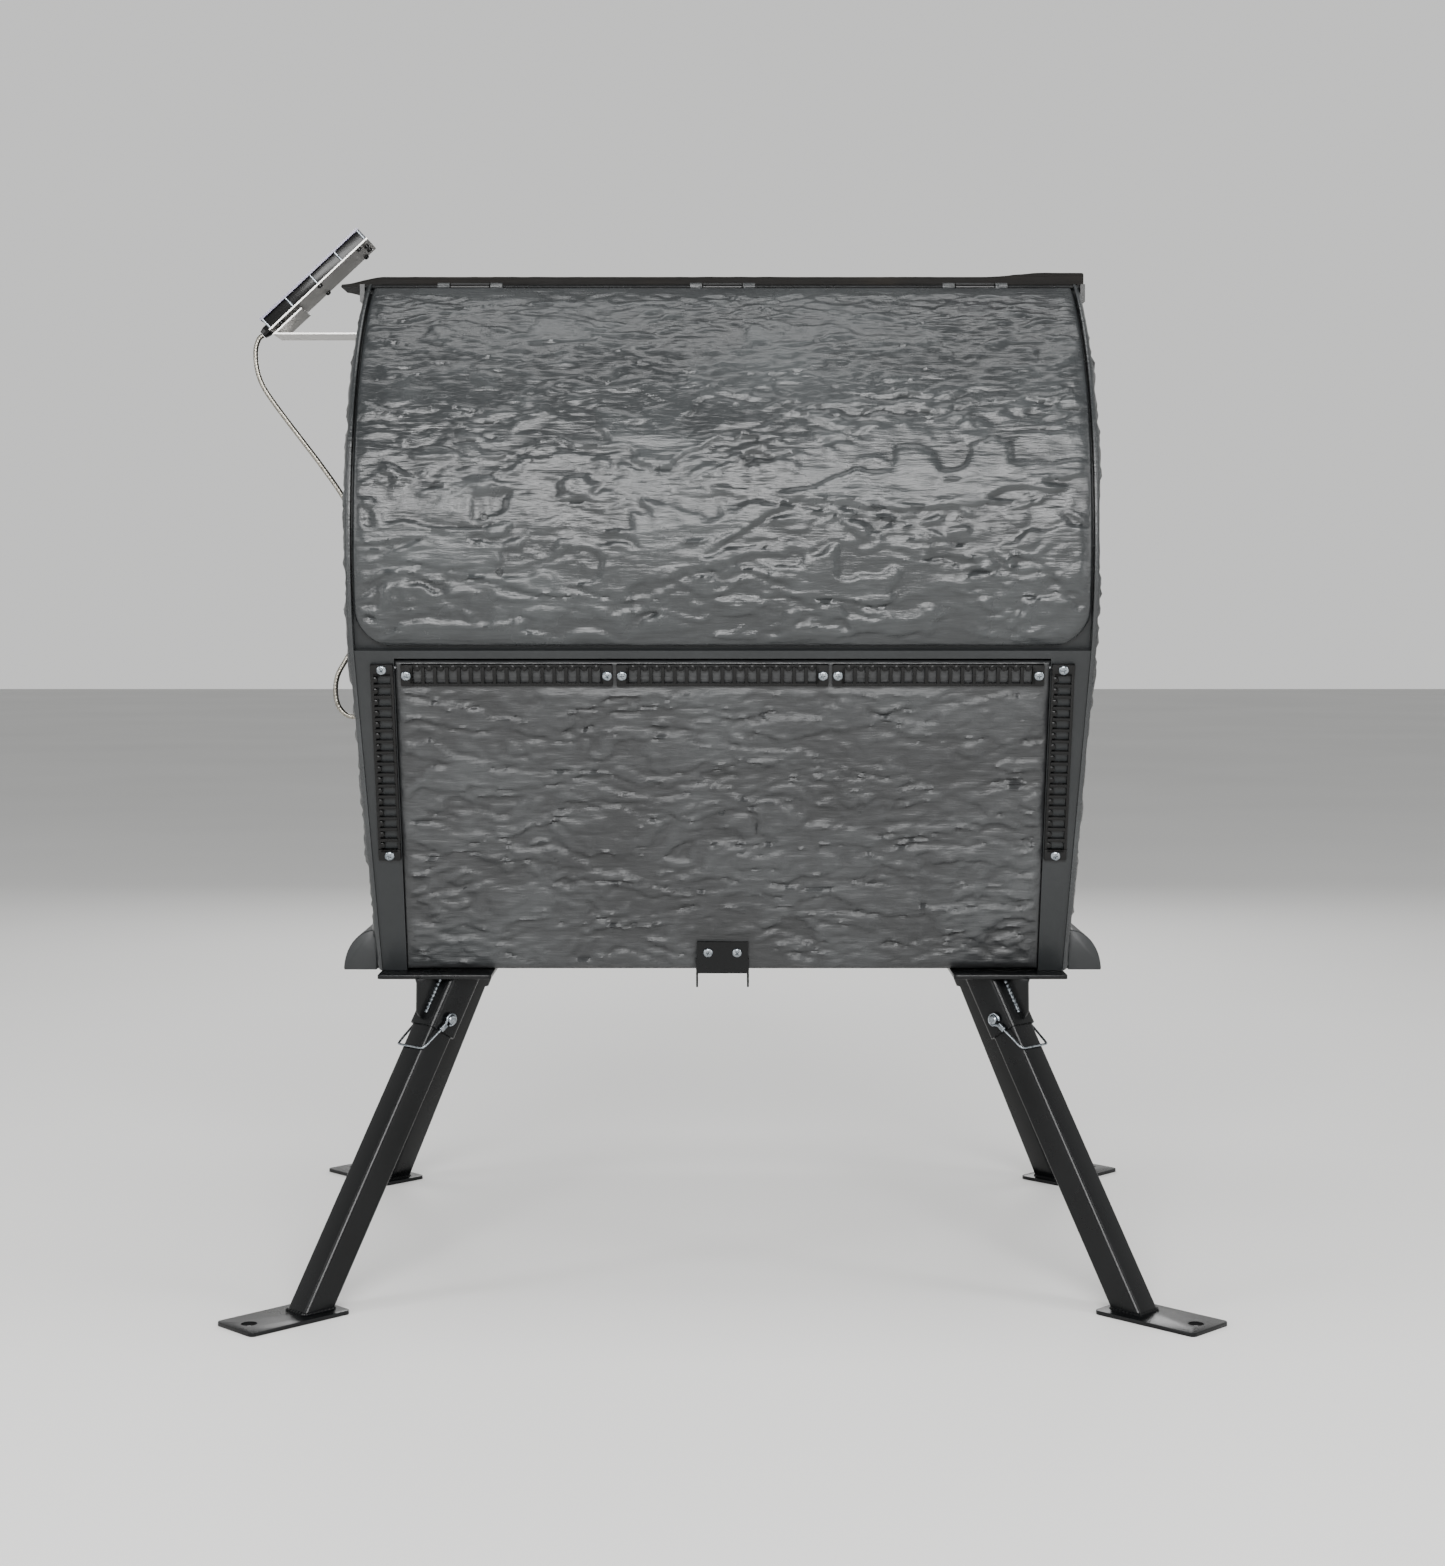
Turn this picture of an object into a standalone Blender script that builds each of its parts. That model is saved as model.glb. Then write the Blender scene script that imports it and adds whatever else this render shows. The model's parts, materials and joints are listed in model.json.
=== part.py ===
# Solar compost tumbler: a fixed, bark-textured housing on four splayed legs, with a turning drum inside.
# Metres, +Z up, +X along the drum's axis, -Y is the front. The origin is on the ground under the middle.
import math

import bmesh
import bpy
from mathutils import Matrix, Vector

# Clearances
GAP = 0.0003                  # between pieces that touch
RUN = 0.0004                  # radial, round pins and axles that turn

# Housing section, seen along X: an arc round the drum's axis, two walls that lean in, a flat deck on top
AXIS_Z = 0.935                # height of the drum's axis
BODY_R = 0.360                # outer radius of shell and hood
WALL_TILT = math.radians(18)  # lean of the front and rear walls
BASE_Z = 0.387                # underside of the housing
DECK_SHARE = 0.880556         # of the radius, from the axis up to the flat top
DECK_Z = AXIS_Z + DECK_SHARE * BODY_R
SHELL_WALL = 0.0097           # foamed wall of the shell
HALF_LENGTH = 0.4525          # to the outer faces of the end caps
CAP_WALL = 0.008
CAP_RIM = 0.002               # how far an end cap stands proud of the shell
END_TAPER = 0.0175            # how far each end leans in, from TAPER_Z down to the base
TAPER_Z = 0.800
SKIRT_REACH = 0.0389
SKIRT_HEIGHT = 0.0505

# Hood, front frame and door
HOOD_WALL = 0.006
HOOD_TOP = math.radians(60)
HOOD_BOTTOM = math.radians(-23)
HOOD_CORNER = 0.048
HOOD_SIDE_GAP = 0.0018
SEAL_DEPTH = 0.0034
SEAL_WIDTH = 0.010
SEAL_INSET = 0.008            # from the opening's edge to the seal
FRAME_WALL = 0.006            # frame under the hood
FRAME_BACK = 0.016            # from the outer face of the pillars to the frame's back
OPENING_HALF = 0.3963
HOOD_OPENING_LOW = math.radians(-14)
HOOD_OPENING_HIGH = math.radians(56)
FRAME_TOP = math.radians(61)
STEP_GAP = 0.004624           # between the hood's bottom edge and the step below it
STEP_DROP = BODY_R * math.sin(-HOOD_BOTTOM - WALL_TILT) + STEP_GAP   # down the wall from the tangent line
DOOR_WALL = 0.012
DOOR_DROP = STEP_DROP + 0.0145    # down the wall to the door's top edge
DOOR_LIFT = 0.0012            # door's bottom edge above the underside
DOOR_TOP_GAP = 0.0045         # room for the door's top edge to swing
DOOR_PIVOT_DROP = 0.0075      # below the door's top edge
DOOR_PIVOT_DEPTH = 0.003      # under the door's outer face
DOOR_PIN_R = 0.002
DOOR_PIN_LENGTH = 0.024

# Hood hinge
HINGE_LEAD = math.radians(1.6)  # round the arc from the hood's top edge to the rod
ROD_R = 0.003
LUG_R = 0.006
HOOD_LUG_WIDTH = 0.050
SHELL_LUG_WIDTH = 0.015
LUG_PITCH = 0.320
LUG_SIDE_GAP = 0.001
LUG_ARM = 0.007
DECK_EDGE = 0.0073            # from the rod's axis back to the deck's front edge
HINGE_BRACKET = (0.006, 0.020, 0.022)

# Ridge cover
RIDGE_FRONT = 0.0125          # from the rod's axis back to the cover's front edge
RIDGE_DEPTH = 0.250
RIDGE_THICK = 0.0105
RIDGE_OVER_LEFT = 0.0335
RIDGE_OVER_RIGHT = 0.0075

# Drum and drive
DRUM_R = 0.280
DRUM_WALL = 0.003
DRUM_HALF = 0.392
DRUM_SIDES = 48
DRUM_END = 0.004
HUB_R = 0.030
HUB_LENGTH = 0.004
AXLE_R = 0.0125
AXLE_HALF = 0.4400
BEARING_R = 0.035
BEARING_LENGTH = 0.0125
MOTOR_R = 0.055
MOTOR_GAP = 0.0015
PADDLE_REACH = 0.060
PADDLE_THICK = 0.004
PADDLE_ANGLES = (70, 190, 310)
HATCH_HALF = 0.200
HATCH_LOW = math.radians(-4)
HATCH_HIGH = math.radians(45)
HATCH_LAP = math.radians(2)
HATCH_LIFT = 0.0035           # inner face of the hatch over the drum
HATCH_WALL = 0.003
HOOP_WIDTH = 0.004
HOOP_DEPTH = 0.0105
HANDLE_REACH = 0.013

# Lower chamber
TRAY_HEIGHT = 0.130
TRAY_WALL = 0.003
TRAY_LEFT = 0.300
TRAY_END_GAP = 0.035
TRAY_SIDE_GAP = 0.006
BATTERY = (0.085, 0.120, 0.100)
BATTERY_END_GAP = 0.006

# Vent strips
VENT_LENGTH = 0.2555
VENT_WIDTH = 0.0275
VENT_THICK = 0.006
VENT_SLOTS = 16
VENT_PITCH = 0.0144
SLOT_WIDTH = 0.010
SLOT_HEIGHT = 0.020
VENT_STEP = 0.0050            # between neighbouring strips
VENT_EDGE = 0.0015            # from the door's top edge to the strips
SIDE_VENT_IN = 0.0010         # from the opening's edge to an upright strip
SCREW_INSET = 0.0065
SCREW_HEAD_R = 0.0062
SCREW_HEAD = 0.0032
SCREW_R = 0.0022
SCREW_LENGTH = 0.011

# Latch bracket
LATCH_HALF = 0.032
LATCH_CHEEK = 0.0025
LATCH_THICK = 0.003
LATCH_RISE = 0.043
LATCH_DROP = 0.019
LATCH_BACK = 0.022
LATCH_SCREW_X = 0.0182
LATCH_SCREW_RISE = 0.030

# Legs
LEG_LEAN = math.radians(30.5)
LEG_TUBE = 0.0381
LEG_WALL = 0.002
LEG_TOP_IN_X = 0.101          # from the base's end to the leg's centre line at the plate
LEG_TOP_OUT_Y = 0.0045        # beyond the base's front edge
SOCKET_FIT = 0.0008           # between leg tube and socket, both sides together
SOCKET_WALL = 0.0028
SOCKET_LENGTH = 0.076
PLATE_SIZE = 0.141
PLATE_THICK = 0.005
PLATE_OUT_X = 0.094           # from the leg's centre line to the plate's outer end
PLATE_OUT_Y = 0.040
GUSSET_THICK = 0.004
GUSSET_REACH = 0.042
FOOT_LENGTH = 0.142
FOOT_WIDTH = 0.073
FOOT_THICK = 0.005
FOOT_SHIFT = 0.0353
FOOT_HOLE_R = 0.0095
FOOT_HOLE_INSET = 0.022

# Wire lock pins
PIN_R = 0.004
PIN_DROP = 0.058              # along the leg, from the plate to the pin
PIN_HEAD_R = 0.0056
PIN_HEAD = 0.008
PIN_TIP = 0.014
BAIL_WIRE_R = 0.0015
BAIL_TILT = math.radians(66)
BAIL_STAND = 0.001            # from the leg's outer face to the wire
BAIL_SIDE = 0.0025
BAIL_EYE = 0.0022

# Solar module, on the left end
MODULE = (0.171, 0.082, 0.020)
MODULE_TILT = math.radians(43.2)
MODULE_OUT = 0.0702           # from the end cap to the module's centre
MODULE_UP = 0.011             # from the deck to the module's centre
MODULE_Y = -0.109
MODULE_PLATE = 0.002
MODULE_COVER = 0.003
CELL_INSET = 0.005
MODULE_FEET = 0.004           # room for the screw heads under the back plate
ARM_THICK = 0.002
ARM_DEPTH = 0.070
ARM_DROP = 0.057              # below the deck
ARM_FLANGE = 0.036
ARM_REST = 0.050              # stretch of the arm under the module
GLAND_R = 0.0075
GLAND_LENGTH = 0.012

# Armoured cable: its own points, from the module's gland to the wall gland, for a housing of this
# half length and deck height; they move with the end cap and stretch with the deck
CABLE_FOR = (0.4525, 1.252)
CABLE_R = 0.00325
CABLE_STEP = 0.014
CABLE_POINTS = (
    (-0.5945, -0.109, 1.1955), (-0.5999, -0.109, 1.1901), (-0.6037, -0.109, 1.1765), (-0.6028, -0.109, 1.1570),
    (-0.5980, -0.109, 1.1385), (-0.5890, -0.109, 1.1210), (-0.5690, -0.109, 1.0930), (-0.5430, -0.110, 1.0590),
    (-0.5170, -0.112, 1.0250), (-0.4900, -0.118, 0.9870), (-0.4690, -0.128, 0.9480), (-0.4600, -0.137, 0.9080),
    (-0.4595, -0.140, 0.8720), (-0.4595, -0.141, 0.8360), (-0.4650, -0.144, 0.8040), (-0.4800, -0.148, 0.7780),
    (-0.4915, -0.150, 0.7560), (-0.4940, -0.150, 0.7340), (-0.4895, -0.150, 0.7160), (-0.4790, -0.150, 0.7055),
    (-0.4665, -0.150, 0.7035),
)
CLIP_Z = 0.866
CLIP = (0.014, 0.020, 0.010)
CLIP_OUT = 0.007              # from the end cap to the cable's middle in the clip

ARC_STEP = math.radians(3)
COS_TILT = math.cos(WALL_TILT)
SIN_TILT = math.sin(WALL_TILT)

# Frames: SECTION lays a flat outline (y, z) across the housing and its thickness along X.
# WALL lies on the front wall: x along X, y up the slope, z outwards, measured from the drum's axis.
SECTION = Matrix(((0, 0, 1, 0), (1, 0, 0, 0), (0, 1, 0, 0), (0, 0, 0, 1)))
PROFILE_XZ = Matrix(((1, 0, 0, 0), (0, 0, -1, 0), (0, 1, 0, 0), (0, 0, 0, 1)))
WALL = Matrix(((1, 0, 0, 0), (0, -SIN_TILT, -COS_TILT, 0), (0, COS_TILT, -SIN_TILT, AXIS_Z), (0, 0, 0, 1)))

for leftover in list(bpy.data.objects):
    bpy.data.objects.remove(leftover, do_unlink=True)


def collection(name):
    made = bpy.data.collections.new(name)
    bpy.context.scene.collection.children.link(made)
    return made


PARTS = collection("compost_tumbler")
CUTTERS = collection("cutters")


def finish(name, colour, roughness, metallic=0.0, alpha=1.0):
    made = bpy.data.materials.new(name)
    made.use_nodes = True
    shader = made.node_tree.nodes["Principled BSDF"]
    shader.inputs["Base Color"].default_value = (*colour, 1.0)
    shader.inputs["Roughness"].default_value = roughness
    shader.inputs["Metallic"].default_value = metallic
    shader.inputs["Alpha"].default_value = alpha
    return made


BARK = (0.052, 0.055, 0.058)
FINISHES = {
    "bark_plastic": (BARK, 0.42, 0.0),
    "smooth_plastic": ((0.060, 0.063, 0.066), 0.45, 0.0),
    "ridge_plastic": ((0.105, 0.095, 0.085), 0.60, 0.0),
    "black_plastic": ((0.012, 0.012, 0.013), 0.35, 0.0),
    "powder_coat": ((0.010, 0.011, 0.013), 0.38, 0.2),
    "zinc": ((0.62, 0.64, 0.66), 0.30, 1.0),
    "steel": ((0.45, 0.45, 0.46), 0.35, 1.0),
    "rubber": ((0.015, 0.015, 0.015), 0.75, 0.0),
    "drum_plastic": ((0.075, 0.085, 0.070), 0.50, 0.0),
    "grey_metal": ((0.35, 0.34, 0.34), 0.40, 0.6),
    "clear": ((0.75, 0.72, 0.85), 0.08, 0.0),
}


def put(name, mesh, look, place=Matrix(), pivot=None):
    """One named piece, in its own finish, under the empty on its joint's axis if it has one."""
    mesh.name = name
    made = bpy.data.objects.new(name, mesh)
    PARTS.objects.link(made)
    made.matrix_world = place
    if not mesh.materials:
        mesh.materials.append(finish(name + "_finish", *FINISHES[look]))
    if pivot:
        made.parent = pivot
        made.matrix_parent_inverse = Matrix.Translation(-pivot.location)
    return made


def helper(name, mesh, place=Matrix()):
    """A cutter or a shape to join: never part of the object itself."""
    made = bpy.data.objects.new(name, mesh)
    CUTTERS.objects.link(made)
    made.matrix_world = place
    made.hide_render = True
    made.display_type = "WIRE"
    return made


def combine(piece, operation, tools):
    for tool in tools:
        step = piece.modifiers.new(tool.name, "BOOLEAN")
        step.operation = operation
        step.solver = "EXACT"
        step.object = tool
    return piece


def baked(piece):
    """The finished mesh of a piece, with its modifiers worked out, in the piece's own frame."""
    bpy.context.view_layer.update()
    view = bpy.context.evaluated_depsgraph_get()
    mesh = bpy.data.meshes.new_from_object(piece.evaluated_get(view))
    bm = bmesh.new()
    bm.from_mesh(mesh)
    bmesh.ops.remove_doubles(bm, verts=bm.verts, dist=1e-6)
    bm.to_mesh(mesh)
    bm.free()
    mesh.materials.clear()
    bpy.data.objects.remove(piece, do_unlink=True)
    return mesh


def pivot_at(name, place):
    made = bpy.data.objects.new(name, None)
    PARTS.objects.link(made)
    made.location = place
    return made


def block(low, high):
    """A box from its lowest to its highest corner."""
    bm = bmesh.new()
    bmesh.ops.create_cube(bm, size=1.0)
    low, high = Vector(low), Vector(high)
    bmesh.ops.scale(bm, vec=high - low, verts=bm.verts)
    bmesh.ops.translate(bm, vec=(high + low) / 2, verts=bm.verts)
    mesh = bpy.data.meshes.new("block")
    bm.to_mesh(mesh)
    bm.free()
    return mesh


def centred(size):
    half = [edge / 2 for edge in size]
    return block([-edge for edge in half], half)


def rod(radius, length, sides=16):
    """A cylinder about local Z, centred."""
    bm = bmesh.new()
    bmesh.ops.create_cone(bm, cap_ends=True, segments=sides, radius1=radius, radius2=radius, depth=length)
    mesh = bpy.data.meshes.new("rod")
    bm.to_mesh(mesh)
    bm.free()
    mesh.shade_smooth()
    mesh.set_sharp_from_angle(angle=math.radians(40))
    return mesh


def plate(outlines, thickness):
    """A flat plate: the first outline is its edge, the others are holes. Centred on local z = 0."""
    flat = bpy.data.curves.new("outline", "CURVE")
    flat.dimensions = "2D"
    flat.fill_mode = "BOTH"
    flat.extrude = thickness / 2
    for outline in outlines:
        spline = flat.splines.new("POLY")
        spline.points.add(len(outline) - 1)
        for point, (x, y) in zip(spline.points, outline):
            point.co = (x, y, 0, 1)
        spline.use_cyclic_u = True
    made = bpy.data.objects.new("outline", flat)
    CUTTERS.objects.link(made)
    return baked(made)


def turned(profile, sides=24, ring=False):
    """A turned piece about local Z. The profile (radius, height) runs down its outer side."""
    mesh = bpy.data.meshes.new("profile")
    count = len(profile)
    edges = [(index, index + 1) for index in range(count - 1)]
    if ring:
        edges.append((count - 1, 0))
    mesh.from_pydata([(radius, 0, height) for radius, height in profile], edges, [])
    made = bpy.data.objects.new("profile", mesh)
    CUTTERS.objects.link(made)
    spin = made.modifiers.new("turn", "SCREW")
    spin.steps = sides
    spin.render_steps = sides
    spin.use_merge_vertices = True
    spin.merge_threshold = 0.00001
    result = baked(made)
    result.shade_smooth()
    result.set_sharp_from_angle(angle=math.radians(40))
    return result


def ring_mesh(bore, radius, length, sides=24):
    """A turned ring with a bore, centred on local z = 0."""
    half = length / 2
    return turned([(bore, half), (radius, half), (radius, -half), (bore, -half)], sides, ring=True)


def gathered(mesh, places):
    """Several copies of one solid in one mesh, to cut or to join with."""
    bm = bmesh.new()
    for place in places:
        first = len(bm.verts)
        bm.from_mesh(mesh)
        bm.verts.ensure_lookup_table()
        bmesh.ops.transform(bm, matrix=place, verts=bm.verts[first:])
    result = bpy.data.meshes.new("group")
    bm.to_mesh(result)
    bm.free()
    return result


def moved(mesh, place):
    mesh.transform(place)
    return mesh


def shift(x=0.0, y=0.0, z=0.0):
    return Matrix.Translation((x, y, z))


def arc(radius, start, end):
    """Points (y, z) round the drum's axis; the angle is 0 at the front and grows upwards."""
    count = max(2, round(abs(end - start) / ARC_STEP)) + 1
    angles = [start + (end - start) * index / (count - 1) for index in range(count)]
    return [(-radius * math.cos(angle), AXIS_Z + radius * math.sin(angle)) for angle in angles]


def on_wall(radius, drop):
    """Point (y, z) on the front wall, a drop down the slope from the tangent line."""
    return (-radius * COS_TILT + drop * SIN_TILT, AXIS_Z - radius * SIN_TILT - drop * COS_TILT)


def drop_at(radius, z):
    return (AXIS_Z - radius * SIN_TILT - z) / COS_TILT


def wall_at(radius, z):
    return on_wall(radius, drop_at(radius, z))


def top_angle(radius, z):
    """Where an arc of this radius meets the height z."""
    return math.asin((z - AXIS_Z) / radius)


def mirrored(points):
    """The same outline points at the rear, in reverse order."""
    return [(-y, z) for y, z in reversed(points)]


def taper(z):
    return END_TAPER * max(0.0, min(1.0, (TAPER_Z - z) / (TAPER_Z - BASE_Z)))


def tapered(mesh):
    """Leans the ends in below TAPER_Z; the mesh gets a row of vertices where the lean starts."""
    bm = bmesh.new()
    bm.from_mesh(mesh)
    everything = bm.verts[:] + bm.edges[:] + bm.faces[:]
    bmesh.ops.bisect_plane(bm, geom=everything, plane_co=(0, 0, TAPER_Z), plane_no=(0, 0, 1), dist=1e-6)
    for vert in bm.verts:
        if abs(vert.co.x) > OPENING_HALF + GAP:
            vert.co.x -= math.copysign(taper(vert.co.z), vert.co.x)
    bm.to_mesh(mesh)
    bm.free()
    return mesh


BASE_DEPTH = -wall_at(BODY_R, BASE_Z)[0]
CAP_INNER = HALF_LENGTH - CAP_WALL
BODY_HALF = CAP_INNER - GAP
HINGE_ANGLE = HOOD_TOP + HINGE_LEAD
HINGE_R = BODY_R - HOOD_WALL / 2
HINGE_Y = -HINGE_R * math.cos(HINGE_ANGLE)
HINGE_Z = AXIS_Z + HINGE_R * math.sin(HINGE_ANGLE)
FRAME_R = BODY_R - HOOD_WALL - SEAL_DEPTH - 2 * GAP
BACK_R = BODY_R - FRAME_BACK
ALONG_X = Matrix.Rotation(math.pi / 2, 4, "Y")

hood_pivot = pivot_at("hood_pivot", (0, HINGE_Y, HINGE_Z))
drum_pivot = pivot_at("drum_pivot", (0, 0, AXIS_Z))
DOOR_PIVOT = on_wall(BODY_R - DOOR_PIVOT_DEPTH, DOOR_DROP + DOOR_PIVOT_DROP)
door_pivot = pivot_at("door_pivot", (0, *DOOR_PIVOT))


LUG_XS = (-LUG_PITCH, 0.0, LUG_PITCH)


def hinge_barrels(name, xs, width):
    """Lugs round the hood's rod, to be joined to the hood or to the shell."""
    return helper(name, gathered(rod(LUG_R, width), [shift(x, HINGE_Y, HINGE_Z) @ ALONG_X for x in xs]))


def housing():
    """Shell, end caps and front frame."""
    inner = BODY_R - SHELL_WALL
    deck_front = HINGE_Y + DECK_EDGE
    rear_top, rear_top_in = top_angle(BODY_R, DECK_Z), top_angle(inner, DECK_Z - SHELL_WALL)
    sill = drop_at(BACK_R - GAP, BASE_Z), drop_at(BACK_R - GAP, BASE_Z + SHELL_WALL)
    outline = [(deck_front, DECK_Z)]
    outline += mirrored(arc(BODY_R, -WALL_TILT, rear_top))
    outline += [(-y, z) for y, z in [wall_at(BODY_R, BASE_Z)]]
    outline += [on_wall(BACK_R - GAP, sill[0]), on_wall(BACK_R - GAP, sill[1])]
    outline += [(-y, z) for y, z in [wall_at(inner, BASE_Z + SHELL_WALL)]]
    outline += [(-y, z) for y, z in arc(inner, -WALL_TILT, rear_top_in)]
    outline += [(deck_front, DECK_Z - SHELL_WALL)]
    shell = plate([outline], 2 * BODY_HALF)
    shell = put("housing_shell", tapered(moved(shell, SECTION)), "bark_plastic")
    step = HOOD_LUG_WIDTH / 2 + LUG_SIDE_GAP + SHELL_LUG_WIDTH / 2
    xs = [x + side * step for x in LUG_XS for side in (-1, 1)]
    half = SHELL_LUG_WIDTH / 2 - GAP
    arm = block((-half, HINGE_Y, DECK_Z - LUG_ARM - 0.001), (half, deck_front + SHELL_LUG_WIDTH, DECK_Z - 0.001))
    arms = helper("shell_arms", gathered(arm, [shift(x=x) for x in xs]))
    combine(shell, "UNION", [arms, hinge_barrels("shell_lugs", xs, SHELL_LUG_WIDTH)])
    combine(shell, "DIFFERENCE", [hinge_bore])

    front = [on_wall(BACK_R, drop_at(BACK_R, BASE_Z))] + arc(BACK_R, -WALL_TILT, FRAME_TOP)
    front += arc(FRAME_R, FRAME_TOP, -WALL_TILT) + [on_wall(FRAME_R, STEP_DROP), on_wall(BODY_R, STEP_DROP)]
    front += [wall_at(BODY_R, BASE_Z)]
    frame = put("front_frame", tapered(moved(plate([front], 2 * BODY_HALF), SECTION)), "smooth_plastic")
    reach = 0.05
    window = arc(BODY_R + reach, HOOD_OPENING_LOW, HOOD_OPENING_HIGH)
    window += arc(BACK_R - reach, HOOD_OPENING_HIGH, HOOD_OPENING_LOW)
    hood_window = helper("hood_window", plate([window], 2 * OPENING_HALF), SECTION)
    door_top = -(DOOR_DROP - DOOR_TOP_GAP)
    low = (-OPENING_HALF, -BODY_R * 2, BACK_R - reach)
    door_window = helper("door_window", block(low, (OPENING_HALF, door_top, BODY_R + reach)), WALL)
    combine(frame, "DIFFERENCE", [hood_window, door_window])

    rim = BODY_R + CAP_RIM
    cap = arc(rim, -WALL_TILT, top_angle(rim, DECK_Z + CAP_RIM))
    cap_outline = [wall_at(rim, BASE_Z)] + cap + mirrored(cap) + [(-wall_at(rim, BASE_Z)[0], BASE_Z)]
    for side, name in ((-1, "left"), (1, "right")):
        mesh = plate([cap_outline], CAP_WALL)
        place = shift(x=side * (HALF_LENGTH - CAP_WALL / 2)) @ SECTION
        end = put("end_cap_" + name, tapered(moved(mesh, place)), "bark_plastic")
        root = HALF_LENGTH - taper(BASE_Z + SKIRT_HEIGHT)
        flare = [(side * (root - CAP_WALL / 2), BASE_Z + SKIRT_HEIGHT)]
        for index in range(1, 9):
            turn = math.pi / 2 * index / 8
            rise = max(GAP, SKIRT_HEIGHT * math.cos(turn))
            flare.append((side * (root + SKIRT_REACH * math.sin(turn)), BASE_Z + rise))
        flare.append((side * (root - CAP_WALL / 2), BASE_Z + GAP))
        skirt = helper("skirt_" + name, plate([flare], 2 * (BASE_DEPTH - GAP)), PROFILE_XZ)
        combine(end, "UNION", [skirt])
        combine(end, "DIFFERENCE", [hinge_bore])


def hinge_line():
    """Hood, its seal, the rod it turns on and the fixed lugs."""
    hood_half = BODY_HALF - HOOD_SIDE_GAP
    inner = BODY_R - HOOD_WALL
    section = arc(BODY_R, HOOD_BOTTOM, HOOD_TOP) + arc(inner, HOOD_TOP, HOOD_BOTTOM)
    hood = put("hood", plate([section], 2 * hood_half), "bark_plastic", SECTION, hood_pivot)
    bottom = AXIS_Z + BODY_R * math.sin(HOOD_BOTTOM)
    front = [(-hood_half - GAP, DECK_Z), (hood_half + GAP, DECK_Z)]
    for centre, start in ((hood_half - HOOD_CORNER, 0), (-hood_half + HOOD_CORNER, -90)):
        for index in range(7):
            turn = math.radians(start - 15 * index)
            front.append((centre + HOOD_CORNER * math.cos(turn), bottom + HOOD_CORNER * (1 + math.sin(turn))))
    corners = helper("hood_corners", plate([front], BODY_R * 2), PROFILE_XZ)
    corners.location.y = -BODY_R
    combine(hood, "INTERSECT", [corners])
    arm = [(HINGE_R - 0.003, HOOD_TOP - 0.012), (HINGE_R + 0.0028, HOOD_TOP - 0.012)]
    arm += [(HINGE_R + 0.0028, HINGE_ANGLE), (HINGE_R - 0.003, HINGE_ANGLE)]
    arm_outline = [(-radius * math.cos(angle), AXIS_Z + radius * math.sin(angle)) for radius, angle in arm]
    places = [shift(x=x) @ SECTION for x in LUG_XS]
    arms = helper("hood_arms", gathered(plate([arm_outline], HOOD_LUG_WIDTH - GAP), places))
    combine(hood, "UNION", [arms, hinge_barrels("hood_lugs", LUG_XS, HOOD_LUG_WIDTH)])
    combine(hood, "DIFFERENCE", [hinge_bore])

    reach = HALF_LENGTH + HINGE_BRACKET[0]
    put("hinge_rod", rod(ROD_R, 2 * reach), "steel", shift(y=HINGE_Y, z=HINGE_Z) @ ALONG_X)

    seal_in = SEAL_INSET / FRAME_R
    seal_low, seal_high = HOOD_OPENING_LOW - math.radians(1.2), HOOD_OPENING_HIGH + seal_in
    seal_wide = math.radians(1.6)
    outer = FRAME_R + GAP + SEAL_DEPTH
    band = arc(outer, seal_low - seal_wide, seal_high + seal_wide)
    band += arc(FRAME_R + GAP, seal_high + seal_wide, seal_low - seal_wide)
    half = OPENING_HALF + SEAL_INSET
    seal = put("hood_seal", plate([band], 2 * (half + SEAL_WIDTH)), "rubber", SECTION)
    hole = arc(outer + 0.01, seal_low, seal_high) + arc(FRAME_R - 0.01, seal_high, seal_low)
    combine(seal, "DIFFERENCE", [helper("seal_window", plate([hole], 2 * half), SECTION)])


def ridge():
    """Cover over the hinge line and the two brackets at the rod's ends."""
    front = HINGE_Y + RIDGE_FRONT
    low = (-HALF_LENGTH - RIDGE_OVER_LEFT, front, DECK_Z + CAP_RIM + GAP)
    high = (HALF_LENGTH + RIDGE_OVER_RIGHT, front + RIDGE_DEPTH, DECK_Z + CAP_RIM + GAP + RIDGE_THICK)
    put("ridge_cover", block(low, high), "ridge_plastic")
    wide, deep, tall = HINGE_BRACKET
    for side, name in ((-1, "left"), (1, "right")):
        x = side * (HALF_LENGTH + GAP + wide / 2)
        place = shift(x, HINGE_Y, HINGE_Z + LUG_R / 2 - tall / 2)
        bracket = put("hinge_bracket_" + name, centred((wide, deep, tall)), "black_plastic", place)
        combine(bracket, "DIFFERENCE", [hinge_bore])


def screw_mesh():
    """Pan-head screw along local Z, its head's seat at z = 0."""
    return turned([(0, SCREW_HEAD), (SCREW_HEAD_R * 0.7, SCREW_HEAD * 0.85), (SCREW_HEAD_R, SCREW_HEAD * 0.3),
                   (SCREW_HEAD_R, GAP), (SCREW_R, GAP), (SCREW_R, -SCREW_LENGTH), (0, -SCREW_LENGTH)], 10)


def circle(x, y, radius, sides=10):
    turns = [2 * math.pi * index / sides for index in range(sides)]
    return [(x + radius * math.cos(turn), y + radius * math.sin(turn)) for turn in turns]


def rectangle(x, y, width, height):
    return [(x - width / 2, y - height / 2), (x + width / 2, y - height / 2),
            (x + width / 2, y + height / 2), (x - width / 2, y + height / 2)]


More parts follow.
